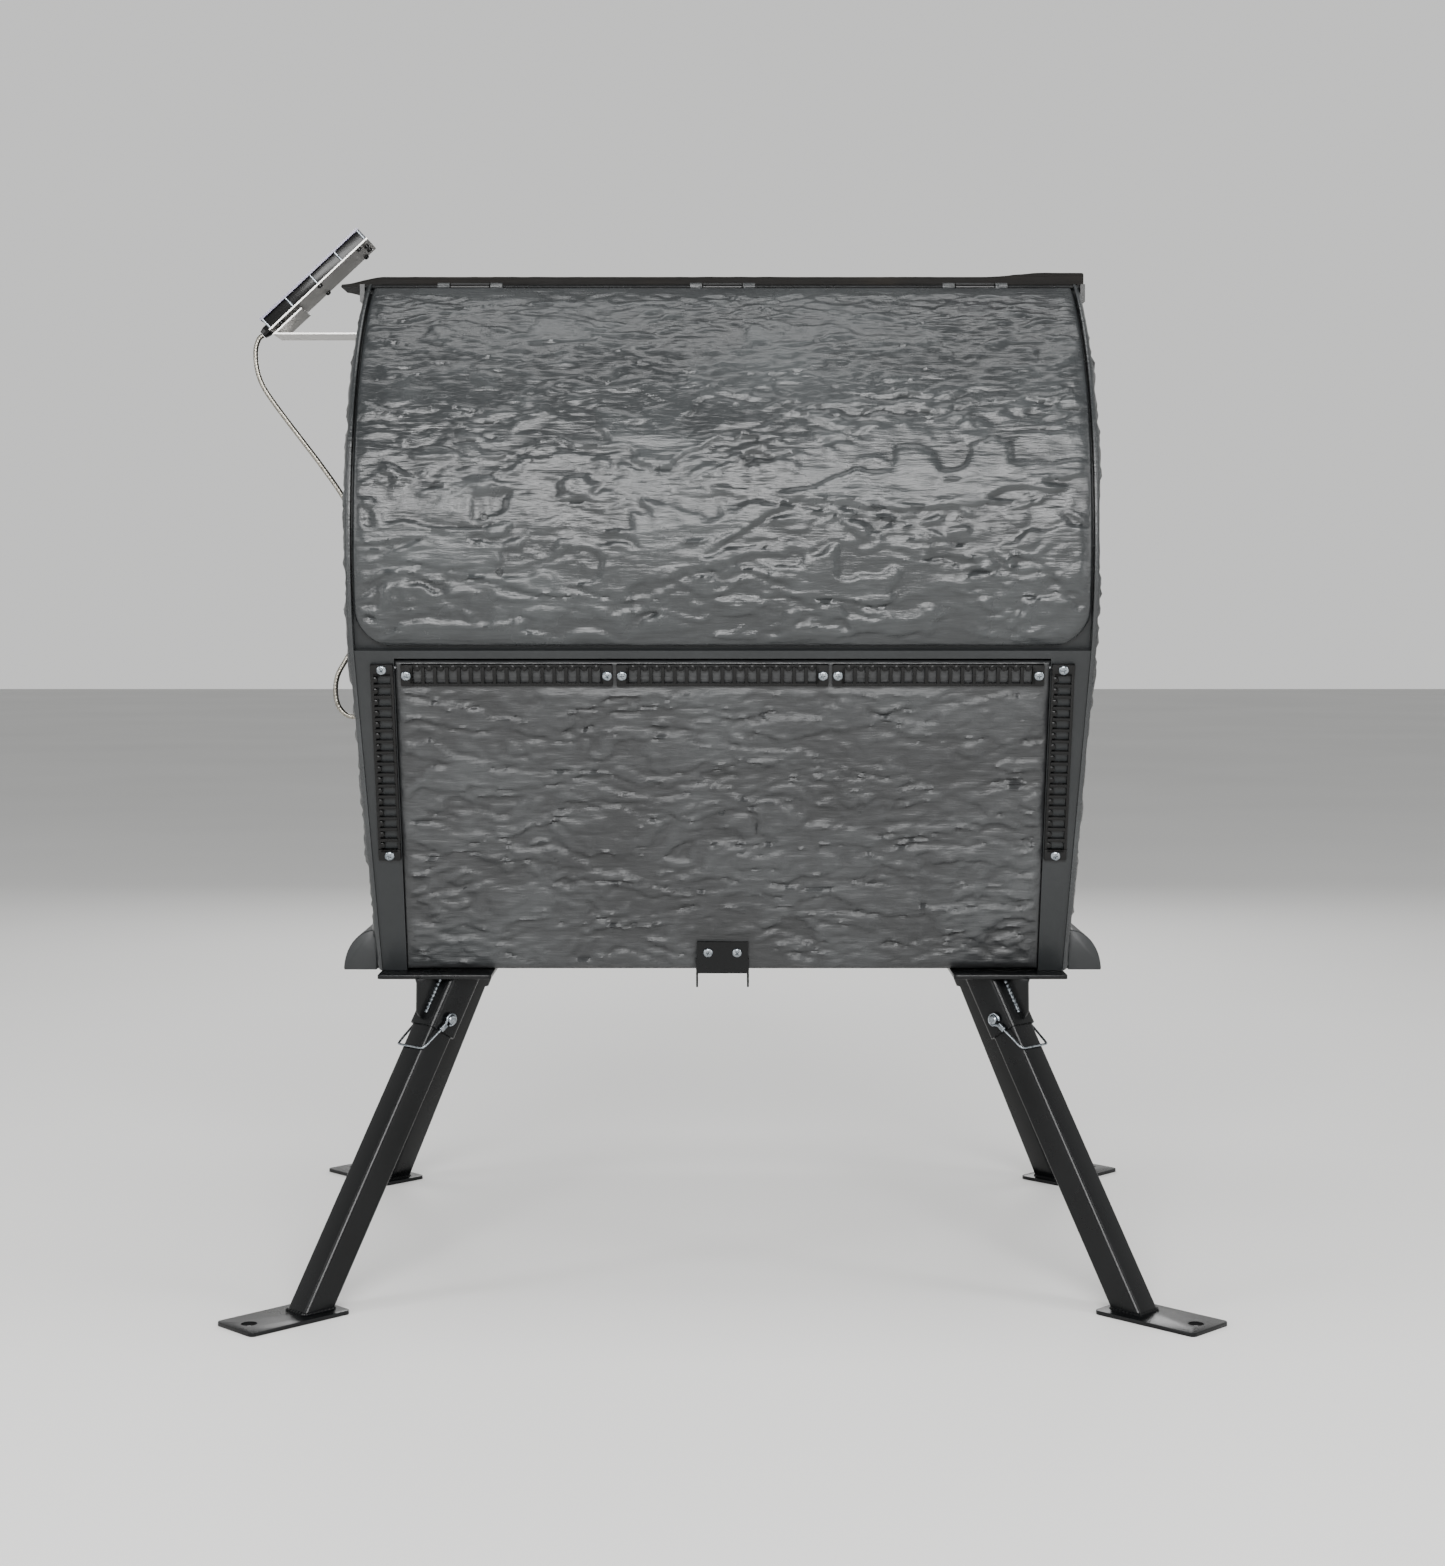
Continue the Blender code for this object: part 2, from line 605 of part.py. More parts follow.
def vent_mesh():
    """Slotted strip along local X, screw holes near its ends."""
    outlines = [rectangle(0, 0, VENT_LENGTH, VENT_WIDTH)]
    for index in range(VENT_SLOTS):
        x = (index - (VENT_SLOTS - 1) / 2) * VENT_PITCH
        outlines.append(rectangle(x, 0, SLOT_WIDTH, SLOT_HEIGHT))
    for side in (-1, 1):
        outlines.append(circle(side * (VENT_LENGTH / 2 - SCREW_INSET), 0, SCREW_R + RUN))
    return plate(outlines, VENT_THICK)


def front_door():
    """The lower front panel with its strips, its pivots and the latch bracket."""
    door_half = OPENING_HALF - GAP
    bottom = drop_at(BODY_R, BASE_Z + DOOR_LIFT)
    low = (-door_half, -bottom, BODY_R - DOOR_WALL)
    door = put("front_door", block(low, (door_half, -DOOR_DROP, BODY_R)), "bark_plastic", WALL, door_pivot)
    strip_y = -(DOOR_DROP + VENT_EDGE + VENT_WIDTH / 2)
    pitch = VENT_LENGTH + VENT_STEP
    for index, name in enumerate(("left", "center", "right")):
        x = (index - 1) * pitch
        place = WALL @ shift(x, strip_y, BODY_R + GAP + VENT_THICK / 2)
        put("vent_top_" + name, vent_mesh(), "black_plastic", place, door_pivot)

    plate_low = -(drop_at(BODY_R, BASE_Z) + 0.003)
    flat = block((-LATCH_HALF, plate_low, BODY_R + GAP), (LATCH_HALF, plate_low + LATCH_RISE,
                                                         BODY_R + GAP + LATCH_THICK))
    bracket = put("latch_bracket", flat, "powder_coat", WALL, door_pivot)
    front = BODY_R + GAP + LATCH_THICK
    cheek = [(front, plate_low + 0.020), (front, plate_low - LATCH_DROP), (front - LATCH_BACK, plate_low - LATCH_DROP),
             (front - LATCH_BACK, plate_low - 0.009), (BODY_R + GAP, plate_low - 0.004),
             (BODY_R + GAP, plate_low + 0.020)]
    side_frame = WALL @ Matrix(((0, 0, 1, 0), (0, 1, 0, 0), (1, 0, 0, 0), (0, 0, 0, 1)))
    cheek_mesh = plate([cheek], LATCH_CHEEK)
    cheeks = gathered(cheek_mesh, [side_frame @ shift(z=side * LATCH_HALF) for side in (-1, 1)])
    bm = bmesh.new()
    bm.from_mesh(cheeks)
    bmesh.ops.recalc_face_normals(bm, faces=bm.faces)
    bm.to_mesh(cheeks)
    bm.free()
    combine(bracket, "UNION", [helper("latch_cheeks", cheeks)])
    latch_y = plate_low + LATCH_SCREW_RISE
    latch_places = [WALL @ shift(side * LATCH_SCREW_X, latch_y, front) for side in (-1, 1)]
    for place, name in zip(latch_places, ("left", "right")):
        put("latch_screw_" + name, screw_mesh(), "zinc", place, door_pivot)
    latch_bores = helper("latch_bores", gathered(rod(SCREW_R + RUN, 2 * SCREW_LENGTH + 2 * RUN, 10), latch_places))
    combine(bracket, "DIFFERENCE", [latch_bores])

    pin_y, pin_z = -(DOOR_DROP + DOOR_PIVOT_DROP), BODY_R - DOOR_PIVOT_DEPTH
    pin_places = [WALL @ shift(side * (OPENING_HALF - GAP / 2), pin_y, pin_z) @ ALONG_X for side in (-1, 1)]
    for place, name in zip(pin_places, ("left", "right")):
        put("door_pin_" + name, rod(DOOR_PIN_R, DOOR_PIN_LENGTH, 12), "steel", place)
    hole = gathered(rod(DOOR_PIN_R + RUN, DOOR_PIN_LENGTH + 0.002, 12), pin_places)
    pin_bores = helper("door_pin_bores", hole)
    combine(door, "DIFFERENCE", [latch_bores, pin_bores])

    for side, name in ((-1, "left"), (1, "right")):
        x = side * (OPENING_HALF + SIDE_VENT_IN + VENT_WIDTH / 2)
        y = -(DOOR_DROP + VENT_EDGE + VENT_LENGTH / 2)
        place = WALL @ shift(x, y, BODY_R + GAP + VENT_THICK / 2) @ Matrix.Rotation(math.pi / 2, 4, "Z")
        put("vent_side_" + name, vent_mesh(), "black_plastic", place)
    combine(bpy.data.objects["front_frame"], "DIFFERENCE", [pin_bores])



def drum():
    """The turning drum, its hatch and its drive."""
    place = shift(z=AXIS_Z) @ SECTION
    phase = Matrix.Rotation(math.pi, 4, "Z")
    inner = DRUM_R - DRUM_WALL
    shell = put("drum_shell", ring_mesh(inner, DRUM_R, 2 * DRUM_HALF, DRUM_SIDES), "drum_plastic",
                place @ phase, drum_pivot)
    door = arc(DRUM_R + 0.03, HATCH_LOW + HATCH_LAP, HATCH_HIGH - HATCH_LAP)
    door += arc(inner - 0.03, HATCH_HIGH - HATCH_LAP, HATCH_LOW + HATCH_LAP)
    mouth = helper("drum_mouth", plate([door], 2 * (HATCH_HALF - 0.010)), SECTION)
    hoop = ring_mesh(DRUM_R - DRUM_WALL / 2, DRUM_R + HOOP_DEPTH, HOOP_WIDTH, DRUM_SIDES)
    xs = [side * (HATCH_HALF + RUN + HOOP_WIDTH / 2) for side in (-1, 1)]
    hoops = helper("drum_hoops", gathered(hoop, [shift(x=x) @ place @ phase for x in xs]))
    combine(shell, "UNION", [hoops])
    combine(shell, "DIFFERENCE", [mouth])

    bore = (AXLE_R + RUN) / math.cos(math.pi / DRUM_SIDES)
    for side, name in ((-1, "left"), (1, "right")):
        disc = [(bore, HUB_LENGTH + DRUM_END), (HUB_R, HUB_LENGTH + DRUM_END), (HUB_R, DRUM_END),
                (DRUM_R, DRUM_END), (DRUM_R, 0), (bore, 0)]
        turn = Matrix() if side > 0 else Matrix.Rotation(math.pi, 4, "X")
        end_place = shift(x=side * (DRUM_HALF + GAP)) @ place @ turn
        put("drum_end_" + name, turned(disc, DRUM_SIDES, ring=True), "drum_plastic", end_place, drum_pivot)
    put("drum_axle", rod(AXLE_R, 2 * AXLE_HALF), "steel", place, drum_pivot)

    paddle = block((inner - GAP * 4 - PADDLE_REACH, -PADDLE_THICK / 2, -DRUM_HALF + 0.01),
                   (inner - GAP * 4, PADDLE_THICK / 2, DRUM_HALF - 0.01))
    for index, angle in enumerate(PADDLE_ANGLES):
        turn = place @ Matrix.Rotation(math.pi - math.radians(angle), 4, "Z")
        put(f"drum_paddle_{index + 1}", paddle.copy(), "drum_plastic", turn, drum_pivot)

    hatch_in = DRUM_R + HATCH_LIFT
    band = arc(hatch_in + HATCH_WALL, HATCH_LOW, HATCH_HIGH) + arc(hatch_in, HATCH_HIGH, HATCH_LOW)
    hatch = put("drum_hatch", plate([band], 2 * HATCH_HALF), "drum_plastic", SECTION, drum_pivot)
    grip_angle = HATCH_LOW + math.radians(5)
    grip_r = hatch_in + HATCH_WALL / 2
    grip = block((grip_r, -0.004, -0.05), (grip_r + HANDLE_REACH, 0.004, 0.05))
    grip_place = place @ Matrix.Rotation(math.pi - grip_angle, 4, "Z")
    combine(hatch, "UNION", [helper("hatch_grip", grip, grip_place)])

    bearing_x = CAP_INNER - GAP - BEARING_LENGTH / 2
    for side, name in ((-1, "left"), (1, "right")):
        mesh = ring_mesh(AXLE_R + RUN * 1.5, BEARING_R, BEARING_LENGTH)
        put("bearing_" + name, mesh, "black_plastic", shift(x=side * bearing_x) @ place)
    outer = bearing_x - BEARING_LENGTH / 2 - GAP
    inner_x = DRUM_HALF + GAP + DRUM_END + HUB_LENGTH + MOTOR_GAP
    motor = ring_mesh(AXLE_R + RUN * 2, MOTOR_R, outer - inner_x)
    put("gear_motor", motor, "black_plastic", shift(x=-(outer + inner_x) / 2) @ place)


def lower_chamber():
    floor = BASE_Z + SHELL_WALL + GAP
    side = -on_wall(BACK_R, drop_at(BACK_R, floor))[0] - TRAY_SIDE_GAP
    right = CAP_INNER - taper(floor) - TRAY_END_GAP
    tray = put("collection_tray", block((-TRAY_LEFT, -side, floor), (right, side, floor + TRAY_HEIGHT)),
               "drum_plastic")
    wall = TRAY_WALL
    hollow = block((-TRAY_LEFT + wall, -side + wall, floor + wall), (right - wall, side - wall, floor + 1))
    combine(tray, "DIFFERENCE", [helper("tray_hollow", hollow)])
    wide, deep, tall = BATTERY
    x = -(CAP_INNER - taper(floor) - BATTERY_END_GAP - wide / 2)
    put("battery_box", centred(BATTERY), "black_plastic", shift(x, 0, floor + tall / 2))


def legs():
    """Sockets under the base, legs, lock pins and their wire bails."""
    plate_top = BASE_Z - GAP
    plate_low = plate_top - PLATE_THICK
    base_half = HALF_LENGTH - END_TAPER
    top_x, top_y = base_half - LEG_TOP_IN_X, BASE_DEPTH + LEG_TOP_OUT_Y
    offset = plate_low * math.tan(LEG_LEAN) / math.sqrt(2)
    axis_length = plate_low / math.cos(LEG_LEAN)
    outer = LEG_TUBE + SOCKET_FIT + 2 * SOCKET_WALL
    leg_top = axis_length - 0.002 - LEG_TUBE / 2 * math.tan(LEG_LEAN)
    lean = Matrix.Rotation(-LEG_LEAN, 4, "Y")
    pin_up = axis_length - PIN_DROP
    pin_half = outer / 2 + PIN_TIP

    half = LEG_TUBE / 2
    tube = helper("leg_tube", block((-half, -half, -0.05), (half, half, leg_top)), lean)
    bore = half - LEG_WALL
    inside = helper("leg_inside", block((-bore, -bore, -0.1), (bore, bore, leg_top + 0.1)), lean)
    ground = helper("leg_ground", block((-0.2, -0.2, -0.2), (0.2, 0.2, FOOT_THICK / 2)))
    outlines = [rectangle(FOOT_SHIFT, 0, FOOT_LENGTH, FOOT_WIDTH),
                circle(FOOT_SHIFT + FOOT_LENGTH / 2 - FOOT_HOLE_INSET, 0, FOOT_HOLE_R, 16)]
    foot = helper("foot_plate", plate(outlines, FOOT_THICK), shift(z=FOOT_THICK / 2))
    cross = Matrix.Rotation(math.pi / 2, 4, "X")
    pin_bore = helper("leg_pin_bore", rod(PIN_R + RUN, 0.2, 12), lean @ shift(z=pin_up) @ cross)
    combine(tube, "DIFFERENCE", [inside, ground, pin_bore])
    combine(tube, "UNION", [foot])
    leg_mesh = moved(baked(tube), lean)
    for tool in (inside, ground, foot, pin_bore):
        bpy.data.objects.remove(tool, do_unlink=True)

    corners = (("front_left", -1, -1, 225, 1), ("front_right", 1, -1, 315, -1),
               ("rear_left", -1, 1, 135, -1), ("rear_right", 1, 1, 45, 1))
    head = outer / 2 + GAP
    pin = turned([(0, head + PIN_HEAD), (PIN_HEAD_R, head + PIN_HEAD), (PIN_HEAD_R, head), (PIN_R, head),
                  (PIN_R, -pin_half), (0, -pin_half)], 12)
    for name, sx, sy, turn, side in corners:
        spot = shift(sx * (top_x + offset), sy * (top_y + offset)) @ Matrix.Rotation(math.radians(turn), 4, "Z")
        put("leg_" + name, leg_mesh.copy(), "powder_coat", spot)
        tilted = spot @ lean
        socket_low = axis_length - SOCKET_LENGTH
        out = outer / 2
        solid = block((-out, -out, socket_low), (out, out, axis_length + 0.04))
        socket = put("socket_" + name, solid, "powder_coat", tilted)
        middle = (sx * (top_x + PLATE_OUT_X - PLATE_SIZE / 2), sy * (top_y + PLATE_OUT_Y - PLATE_SIZE / 2))
        flat = helper("plate_" + name, centred((PLATE_SIZE, PLATE_SIZE, PLATE_THICK)),
                      shift(*middle, plate_low + PLATE_THICK / 2))
        root = -plate_low * math.tan(LEG_LEAN)
        low = socket_low + 0.012
        down = (-low * math.sin(LEG_LEAN), low * math.cos(LEG_LEAN))
        web = [(root, plate_low + 0.001), down, (down[0] + out, down[1] + 0.012),
               (root + out + GUSSET_REACH, plate_low + 0.001)]
        gusset = helper("gusset_" + name, plate([web], GUSSET_THICK), spot @ PROFILE_XZ)
        above = helper("above_" + name, block((-1, -1, plate_top), (1, 1, plate_top + 1)))
        room = (LEG_TUBE + SOCKET_FIT) / 2
        hollow = helper("hollow_" + name, block((-room, -room, 0), (room, room, leg_top + 0.001)), tilted)
        hole = helper("pin_hole_" + name, rod(PIN_R + RUN, 0.2, 12), tilted @ shift(z=pin_up) @ cross)
        combine(socket, "UNION", [flat, gusset])
        combine(socket, "DIFFERENCE", [above, hollow, hole])
        flip = cross if side < 0 else Matrix.Rotation(-math.pi / 2, 4, "X")
        pin_place = tilted @ shift(z=pin_up) @ flip
        put("lock_pin_" + name, pin.copy(), "zinc", pin_place)

        # The bail hangs in a plane through the pin: in it, u runs down over the leg and v along the pin
        eye = outer / 2 + GAP + PIN_HEAD / 2
        bail_frame = pin_place @ Matrix.Rotation(side * BAIL_TILT, 4, "Z")
        near, far = LEG_TUBE / 2 + BAIL_SIDE, -out - BAIL_WIRE_R - GAP
        reach = (LEG_TUBE / 2 + BAIL_WIRE_R + BAIL_STAND) / math.cos(BAIL_TILT)
        route = [(PIN_HEAD_R + BAIL_EYE, eye), (reach * 0.6, eye - 0.001), (reach, near), (reach, far),
                 (reach * 0.75, far - 0.002), (PIN_R + BAIL_EYE, far - 0.006)]
        wire = bpy.data.curves.new("bail", "CURVE")
        wire.dimensions = "3D"
        wire.bevel_depth = BAIL_WIRE_R
        wire.bevel_resolution = 1
        wire.use_fill_caps = True
        spline = wire.splines.new("POLY")
        spline.points.add(len(route) - 1)
        for point, (u, v) in zip(spline.points, route):
            point.co = (u, 0, v, 1)
        bail = bpy.data.objects.new("bail", wire)
        CUTTERS.objects.link(bail)
        mesh = baked(bail)
        mesh.transform(shift(z=-eye))
        put("pin_bail_" + name, mesh, "zinc", bail_frame @ shift(z=eye))


def smooth_route(points, step):
    """Evenly spread points on a smooth curve through the given ones."""
    points = [Vector(point) for point in points]
    ends = [2 * points[0] - points[1]] + points + [2 * points[-1] - points[-2]]
    fine = []
    for index in range(1, len(ends) - 2):
        a, b, c, d = ends[index - 1:index + 3]
        for part in range(20):
            t = part / 20
            fine.append(0.5 * (2 * b + (c - a) * t + (2 * a - 5 * b + 4 * c - d) * t * t
                               + (3 * b - a - 3 * c + d) * t ** 3))
    fine.append(points[-1])
    lengths = [0.0]
    for first, second in zip(fine, fine[1:]):
        lengths.append(lengths[-1] + (second - first).length)
    count = round(lengths[-1] / step)
    route, place = [], 0
    for index in range(count + 1):
        want = lengths[-1] * index / count
        while place < len(fine) - 2 and lengths[place + 1] < want:
            place += 1
        share = (want - lengths[place]) / (lengths[place + 1] - lengths[place])
        route.append(fine[place].lerp(fine[place + 1], min(1.0, share)))
    return route


def cable_height(z):
    """A height on the cable, stretched to this housing's deck."""
    low, high = CABLE_POINTS[-1][2], CABLE_POINTS[0][2]
    return low + (z - low) * (high - low + DECK_Z - CABLE_FOR[1]) / (high - low)


def cable_points():
    """The cable's points, moved to this housing's end cap and deck."""
    return [(x + CABLE_FOR[0] - HALF_LENGTH, y, cable_height(z)) for x, y, z in CABLE_POINTS]


def solar():
    """Module on its arm at the left end, and the armoured cable down to the wall gland."""
    centre = (-HALF_LENGTH - MODULE_OUT, MODULE_Y, DECK_Z + MODULE_UP)
    slope = Matrix.Translation(centre) @ Matrix.Rotation(-MODULE_TILT, 4, "Y")
    long, deep, thick = MODULE
    back = -thick / 2 + MODULE_PLATE
    put("solar_back_plate", block((-long / 2, -deep / 2, -thick / 2), (long / 2, deep / 2, back)), "grey_metal",
        slope)
    front = thick / 2 - MODULE_COVER
    put("solar_cover", block((-long / 2, -deep / 2, front), (long / 2, deep / 2, thick / 2)), "clear", slope)
    low = (-long / 2 + CELL_INSET, -deep / 2 + CELL_INSET, back + GAP)
    high = (long / 2 - CELL_INSET, deep / 2 - CELL_INSET, front - GAP)
    put("solar_cells", block(low, high), "black_plastic", slope)
    arm_z = DECK_Z - ARM_DROP
    cap_x = -HALF_LENGTH - GAP
    rest = slope @ Vector((-long / 2, 0, -thick / 2 - GAP * 2 - MODULE_FEET))
    along = Vector((math.cos(MODULE_TILT), math.sin(MODULE_TILT)))
    across = Vector((math.sin(MODULE_TILT), -math.cos(MODULE_TILT)))
    line = Vector((rest.x, rest.z))
    inner = line + across * ARM_THICK
    low = arm_z - ARM_THICK
    fold = line + along * ((low - line.y) / along.y)
    crease = inner + along * ((arm_z - inner.y) / along.y)
    tip = fold + along * ARM_REST
    outline = [(cap_x, arm_z), (cap_x, arm_z - ARM_FLANGE), (cap_x - ARM_THICK, arm_z - ARM_FLANGE),
               (cap_x - ARM_THICK, low), fold, tip, tip + across * ARM_THICK, crease]
    put("solar_arm", plate([outline], ARM_DEPTH), "grey_metal", shift(y=MODULE_Y) @ PROFILE_XZ)

    gland = turned([(0, GLAND_LENGTH), (GLAND_R * 0.75, GLAND_LENGTH), (GLAND_R, GLAND_LENGTH * 0.5), (GLAND_R, 0),
                    (0, 0)], 12)
    face = slope @ shift(-long / 2 - GAP) @ Matrix.Rotation(-math.pi / 2, 4, "Y")
    put("module_gland", gland, "black_plastic", face)
    points = cable_points()
    end = Vector(points[-1])
    foot_x = -(HALF_LENGTH - taper(end.z + GLAND_R) + GAP * 2)
    slant = (end - Vector(points[-2])).normalized()
    length = foot_x - end.x - GAP - CABLE_R * abs(slant.z)
    wall_gland = turned([(0, length), (GLAND_R * 0.7, length), (GLAND_R, length * 0.6), (GLAND_R, 0), (0, 0)], 12)
    place = shift(foot_x, end.y, end.z) @ Matrix.Rotation(-math.pi / 2, 4, "Y")
    put("wall_gland", wall_gland, "black_plastic", place)

    cable = bpy.data.curves.new("armoured_cable", "CURVE")
    cable.dimensions = "3D"
    cable.bevel_depth = CABLE_R
    cable.bevel_resolution = 2
    cable.use_fill_caps = True
    route = smooth_route(points, CABLE_STEP)
    spline = cable.splines.new("POLY")
    spline.points.add(len(route) - 1)
    for point, place in zip(spline.points, route):
        point.co = (*place, 1)
    lead = bpy.data.objects.new("armoured_cable", cable)
    PARTS.objects.link(lead)
    cable.materials.append(finish("armoured_cable_finish", *FINISHES["zinc"]))

    wide, deep, tall = CLIP
    clip_y, clip_z = points[12][1], cable_height(CLIP_Z)
    clip = put("cable_clip", centred(CLIP), "black_plastic", shift(cap_x - wide / 2, clip_y, clip_z))
    hole = helper("clip_bore", rod(CABLE_R + RUN * 2, 0.05, 12), shift(-HALF_LENGTH - CLIP_OUT, clip_y, clip_z))
    combine(clip, "DIFFERENCE", [hole])


hinge_bore = helper("hinge_bore", rod(ROD_R + RUN, 4 * HALF_LENGTH), shift(y=HINGE_Y, z=HINGE_Z) @ ALONG_X)
housing()
hinge_line()
ridge()
front_door()
drum()
lower_chamber()
legs()
solar()
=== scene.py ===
import json
import math
import bpy
import bmesh
from mathutils import Matrix, Vector

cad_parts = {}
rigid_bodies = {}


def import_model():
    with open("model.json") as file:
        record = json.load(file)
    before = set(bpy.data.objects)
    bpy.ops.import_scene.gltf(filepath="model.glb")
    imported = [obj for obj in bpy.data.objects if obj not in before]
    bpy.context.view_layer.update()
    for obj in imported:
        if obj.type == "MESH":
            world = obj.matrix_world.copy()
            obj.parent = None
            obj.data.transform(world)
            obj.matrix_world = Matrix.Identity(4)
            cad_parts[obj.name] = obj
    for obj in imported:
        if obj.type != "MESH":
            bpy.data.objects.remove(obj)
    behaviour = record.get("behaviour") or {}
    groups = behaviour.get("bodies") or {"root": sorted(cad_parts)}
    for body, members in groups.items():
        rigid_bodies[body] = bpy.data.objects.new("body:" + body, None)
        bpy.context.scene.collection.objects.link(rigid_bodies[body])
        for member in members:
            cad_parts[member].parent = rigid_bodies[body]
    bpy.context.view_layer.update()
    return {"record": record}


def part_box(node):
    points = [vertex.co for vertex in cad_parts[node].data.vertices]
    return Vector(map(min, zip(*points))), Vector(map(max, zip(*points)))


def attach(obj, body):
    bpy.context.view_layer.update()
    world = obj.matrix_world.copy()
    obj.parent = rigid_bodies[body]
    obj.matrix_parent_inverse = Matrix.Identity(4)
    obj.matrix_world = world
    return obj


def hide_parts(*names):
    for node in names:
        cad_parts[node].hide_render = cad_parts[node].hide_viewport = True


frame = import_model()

lean = math.radians(18)        # lean of the front and rear walls
axisHeight = 0.935             # height of the drum's axis
bodyRadius = 0.360
deckHeight = 1.252
baseHeight = 0.387


def linearColour(hexText):
    values = [int(hexText[i:i + 2], 16) / 255 for i in (1, 3, 5)]
    linear = [v / 12.92 if v <= 0.04045 else ((v + 0.055) / 1.055) ** 2.4 for v in values]
    return (*linear, 1.0)


def addNode(tree, kind, inputs=(), stops=(), **settings):
    # stops are a colour ramp's pairs of place and colour
    node = tree.nodes.new(kind)
    for name, value in settings.items():
        setattr(node, name, value)
    pairs = inputs.items() if isinstance(inputs, dict) else enumerate(inputs)
    for key, value in pairs:
        if isinstance(value, bpy.types.Node):
            value = value.outputs[0]
        if isinstance(value, bpy.types.NodeSocket):
            tree.links.new(value, node.inputs[key])
        elif value is not None:
            node.inputs[key].default_value = value
    if stops:
        elements = node.color_ramp.elements
        while len(elements) < len(stops):
            elements.new(0.5)
        for element, (place, colour) in zip(elements, stops):
            element.position = place
            element.color = linearColour(colour)
    return node


def smooth(edge0, edge1, value):
    share = max(0.0, min(1.0, (value - edge0) / (edge1 - edge0)))
    return share * share * (3 - 2 * share)


# camera
view = {"place": (0, -3.33, 0.817), "lens": 57.24, "shiftY": -0.099}
cameraData = bpy.data.cameras.new("camera")
cameraData.lens = view["lens"]
cameraData.sensor_width = 36
cameraData.shift_y = view["shiftY"]
camera = bpy.data.objects.new("camera", cameraData)
camera.location = view["place"]
camera.rotation_euler = (math.radians(90), 0, 0)
bpy.context.scene.collection.objects.link(camera)
bpy.context.scene.camera = camera


# materials
def newMaterial(name, colour, **surface):
    material = bpy.data.materials.new(name)
    material.use_nodes = True
    tree = material.node_tree
    shader = tree.nodes["Principled BSDF"]
    shader.inputs["Base Color"].default_value = linearColour(colour)
    for label, value in surface.items():
        shader.inputs[label.replace("_", " ")].default_value = value
    return material, tree, shader


def moulded(name, stops, rough, grainScale, bumpDepth, shine=0.5, patch=6.0, reliefShare=True):
    material, tree, shader = newMaterial(name, stops[1][1], IOR=1.5, Specular_IOR_Level=shine)
    place = addNode(tree, "ShaderNodeTexCoord").outputs["Object"]
    patches = addNode(tree, "ShaderNodeTexNoise",
                      {"Vector": place, "Scale": patch, "Detail": 6.0, "Roughness": 0.62})
    stretched = addNode(tree, "ShaderNodeMapping", {"Vector": place, "Scale": grainScale})
    grain = addNode(tree, "ShaderNodeTexNoise",
                    {"Vector": stretched, "Scale": 1.0, "Detail": 5.0, "Roughness": 0.6})
    share = addNode(tree, "ShaderNodeMath", [patches, 0.75], operation="MULTIPLY")
    if reliefShare:
        # the bark's height makes the colour paler on crests and darker in hollows: painted
        # highlight and painted shade
        relief = addNode(tree, "ShaderNodeAttribute", attribute_name="relief").outputs["Fac"]
        reliefShading = addNode(tree, "ShaderNodeMath", [relief, 0.16], operation="MULTIPLY")
        share = addNode(tree, "ShaderNodeMath", [share, reliefShading], operation="ADD")
    fibre = addNode(tree, "ShaderNodeMath", [grain, 0.22], operation="MULTIPLY")
    share = addNode(tree, "ShaderNodeMath", [share, fibre], operation="ADD")
    ramp = addNode(tree, "ShaderNodeValToRGB", [share], stops)
    tree.links.new(ramp.outputs["Color"], shader.inputs["Base Color"])
    sheen = addNode(tree, "ShaderNodeMapRange",
                    {"Value": patches.outputs[0], "From Min": 0.3, "From Max": 0.7,
                                                 "To Min": rough[0], "To Max": rough[1]})
    tree.links.new(sheen.outputs[0], shader.inputs["Roughness"])
    bump = addNode(tree, "ShaderNodeBump",
                   {"Height": grain.outputs[0], "Strength": 0.6, "Distance": bumpDepth})
    tree.links.new(bump.outputs["Normal"], shader.inputs["Normal"])
    return material


# rotomoulded polyethylene, graphite grey: satin, paler on its raised relief and darker in its
# hollows, painted highlight and painted shade
barkPlastic = moulded("rotomouldedPolyethylene",
                      [(0.28, "#1c1e1f"), (0.55, "#292b2c"), (0.85, "#3b3e3f")],
                      (0.20, 0.33), (26, 190, 190), 0.0020, 0.45)
# the lower door's plastic came off a duller part of the mould: broad, soft highlights
dullBarkPlastic = moulded("dullRotomouldedPolyethylene",
                          [(0.28, "#1a1b1b"), (0.55, "#272829"), (0.85, "#3d3f40")],
                          (0.36, 0.50), (22, 170, 170), 0.0024, 0.45)
# the same plastic off a smooth part of the mould: an even satin with a faint orange peel
smoothPlastic = moulded("smoothPolyethylene",
                        [(0.2, "#17191a"), (0.5, "#1f2122"), (0.8, "#2a2c2d")],
                        (0.38, 0.5), (120, 120, 120), 0.0003, 0.35, reliefShare=False)
# polyethylene coloured grey-brown, moulded with a wood grain that runs along the ridge
ridgePlastic = moulded("woodGrainPolyethylene",
                       [(0.3, "#070605"), (0.55, "#100e0c"), (0.85, "#26221d")],
                       (0.55, 0.70), (7, 260, 260), 0.0020, 0.14)
# injection-moulded polypropylene, black: finely eroded, soft highlights on every edge
blackPlastic = moulded("mouldedPolypropylene",
                       [(0.2, "#050505"), (0.5, "#090909"), (0.8, "#101011")],
                       (0.22, 0.34), (700, 700, 700), 0.0001, 0.24, reliefShare=False)
# black powder coat on steel: semi-gloss with orange peel about 2 mm across
powderCoat = moulded("powderCoatedSteel", [(0.2, "#050606"), (0.5, "#090a0b"), (0.8, "#101112")],
                     (0.22, 0.32), (450, 450, 450), 0.0002, 0.22, reliefShare=False)
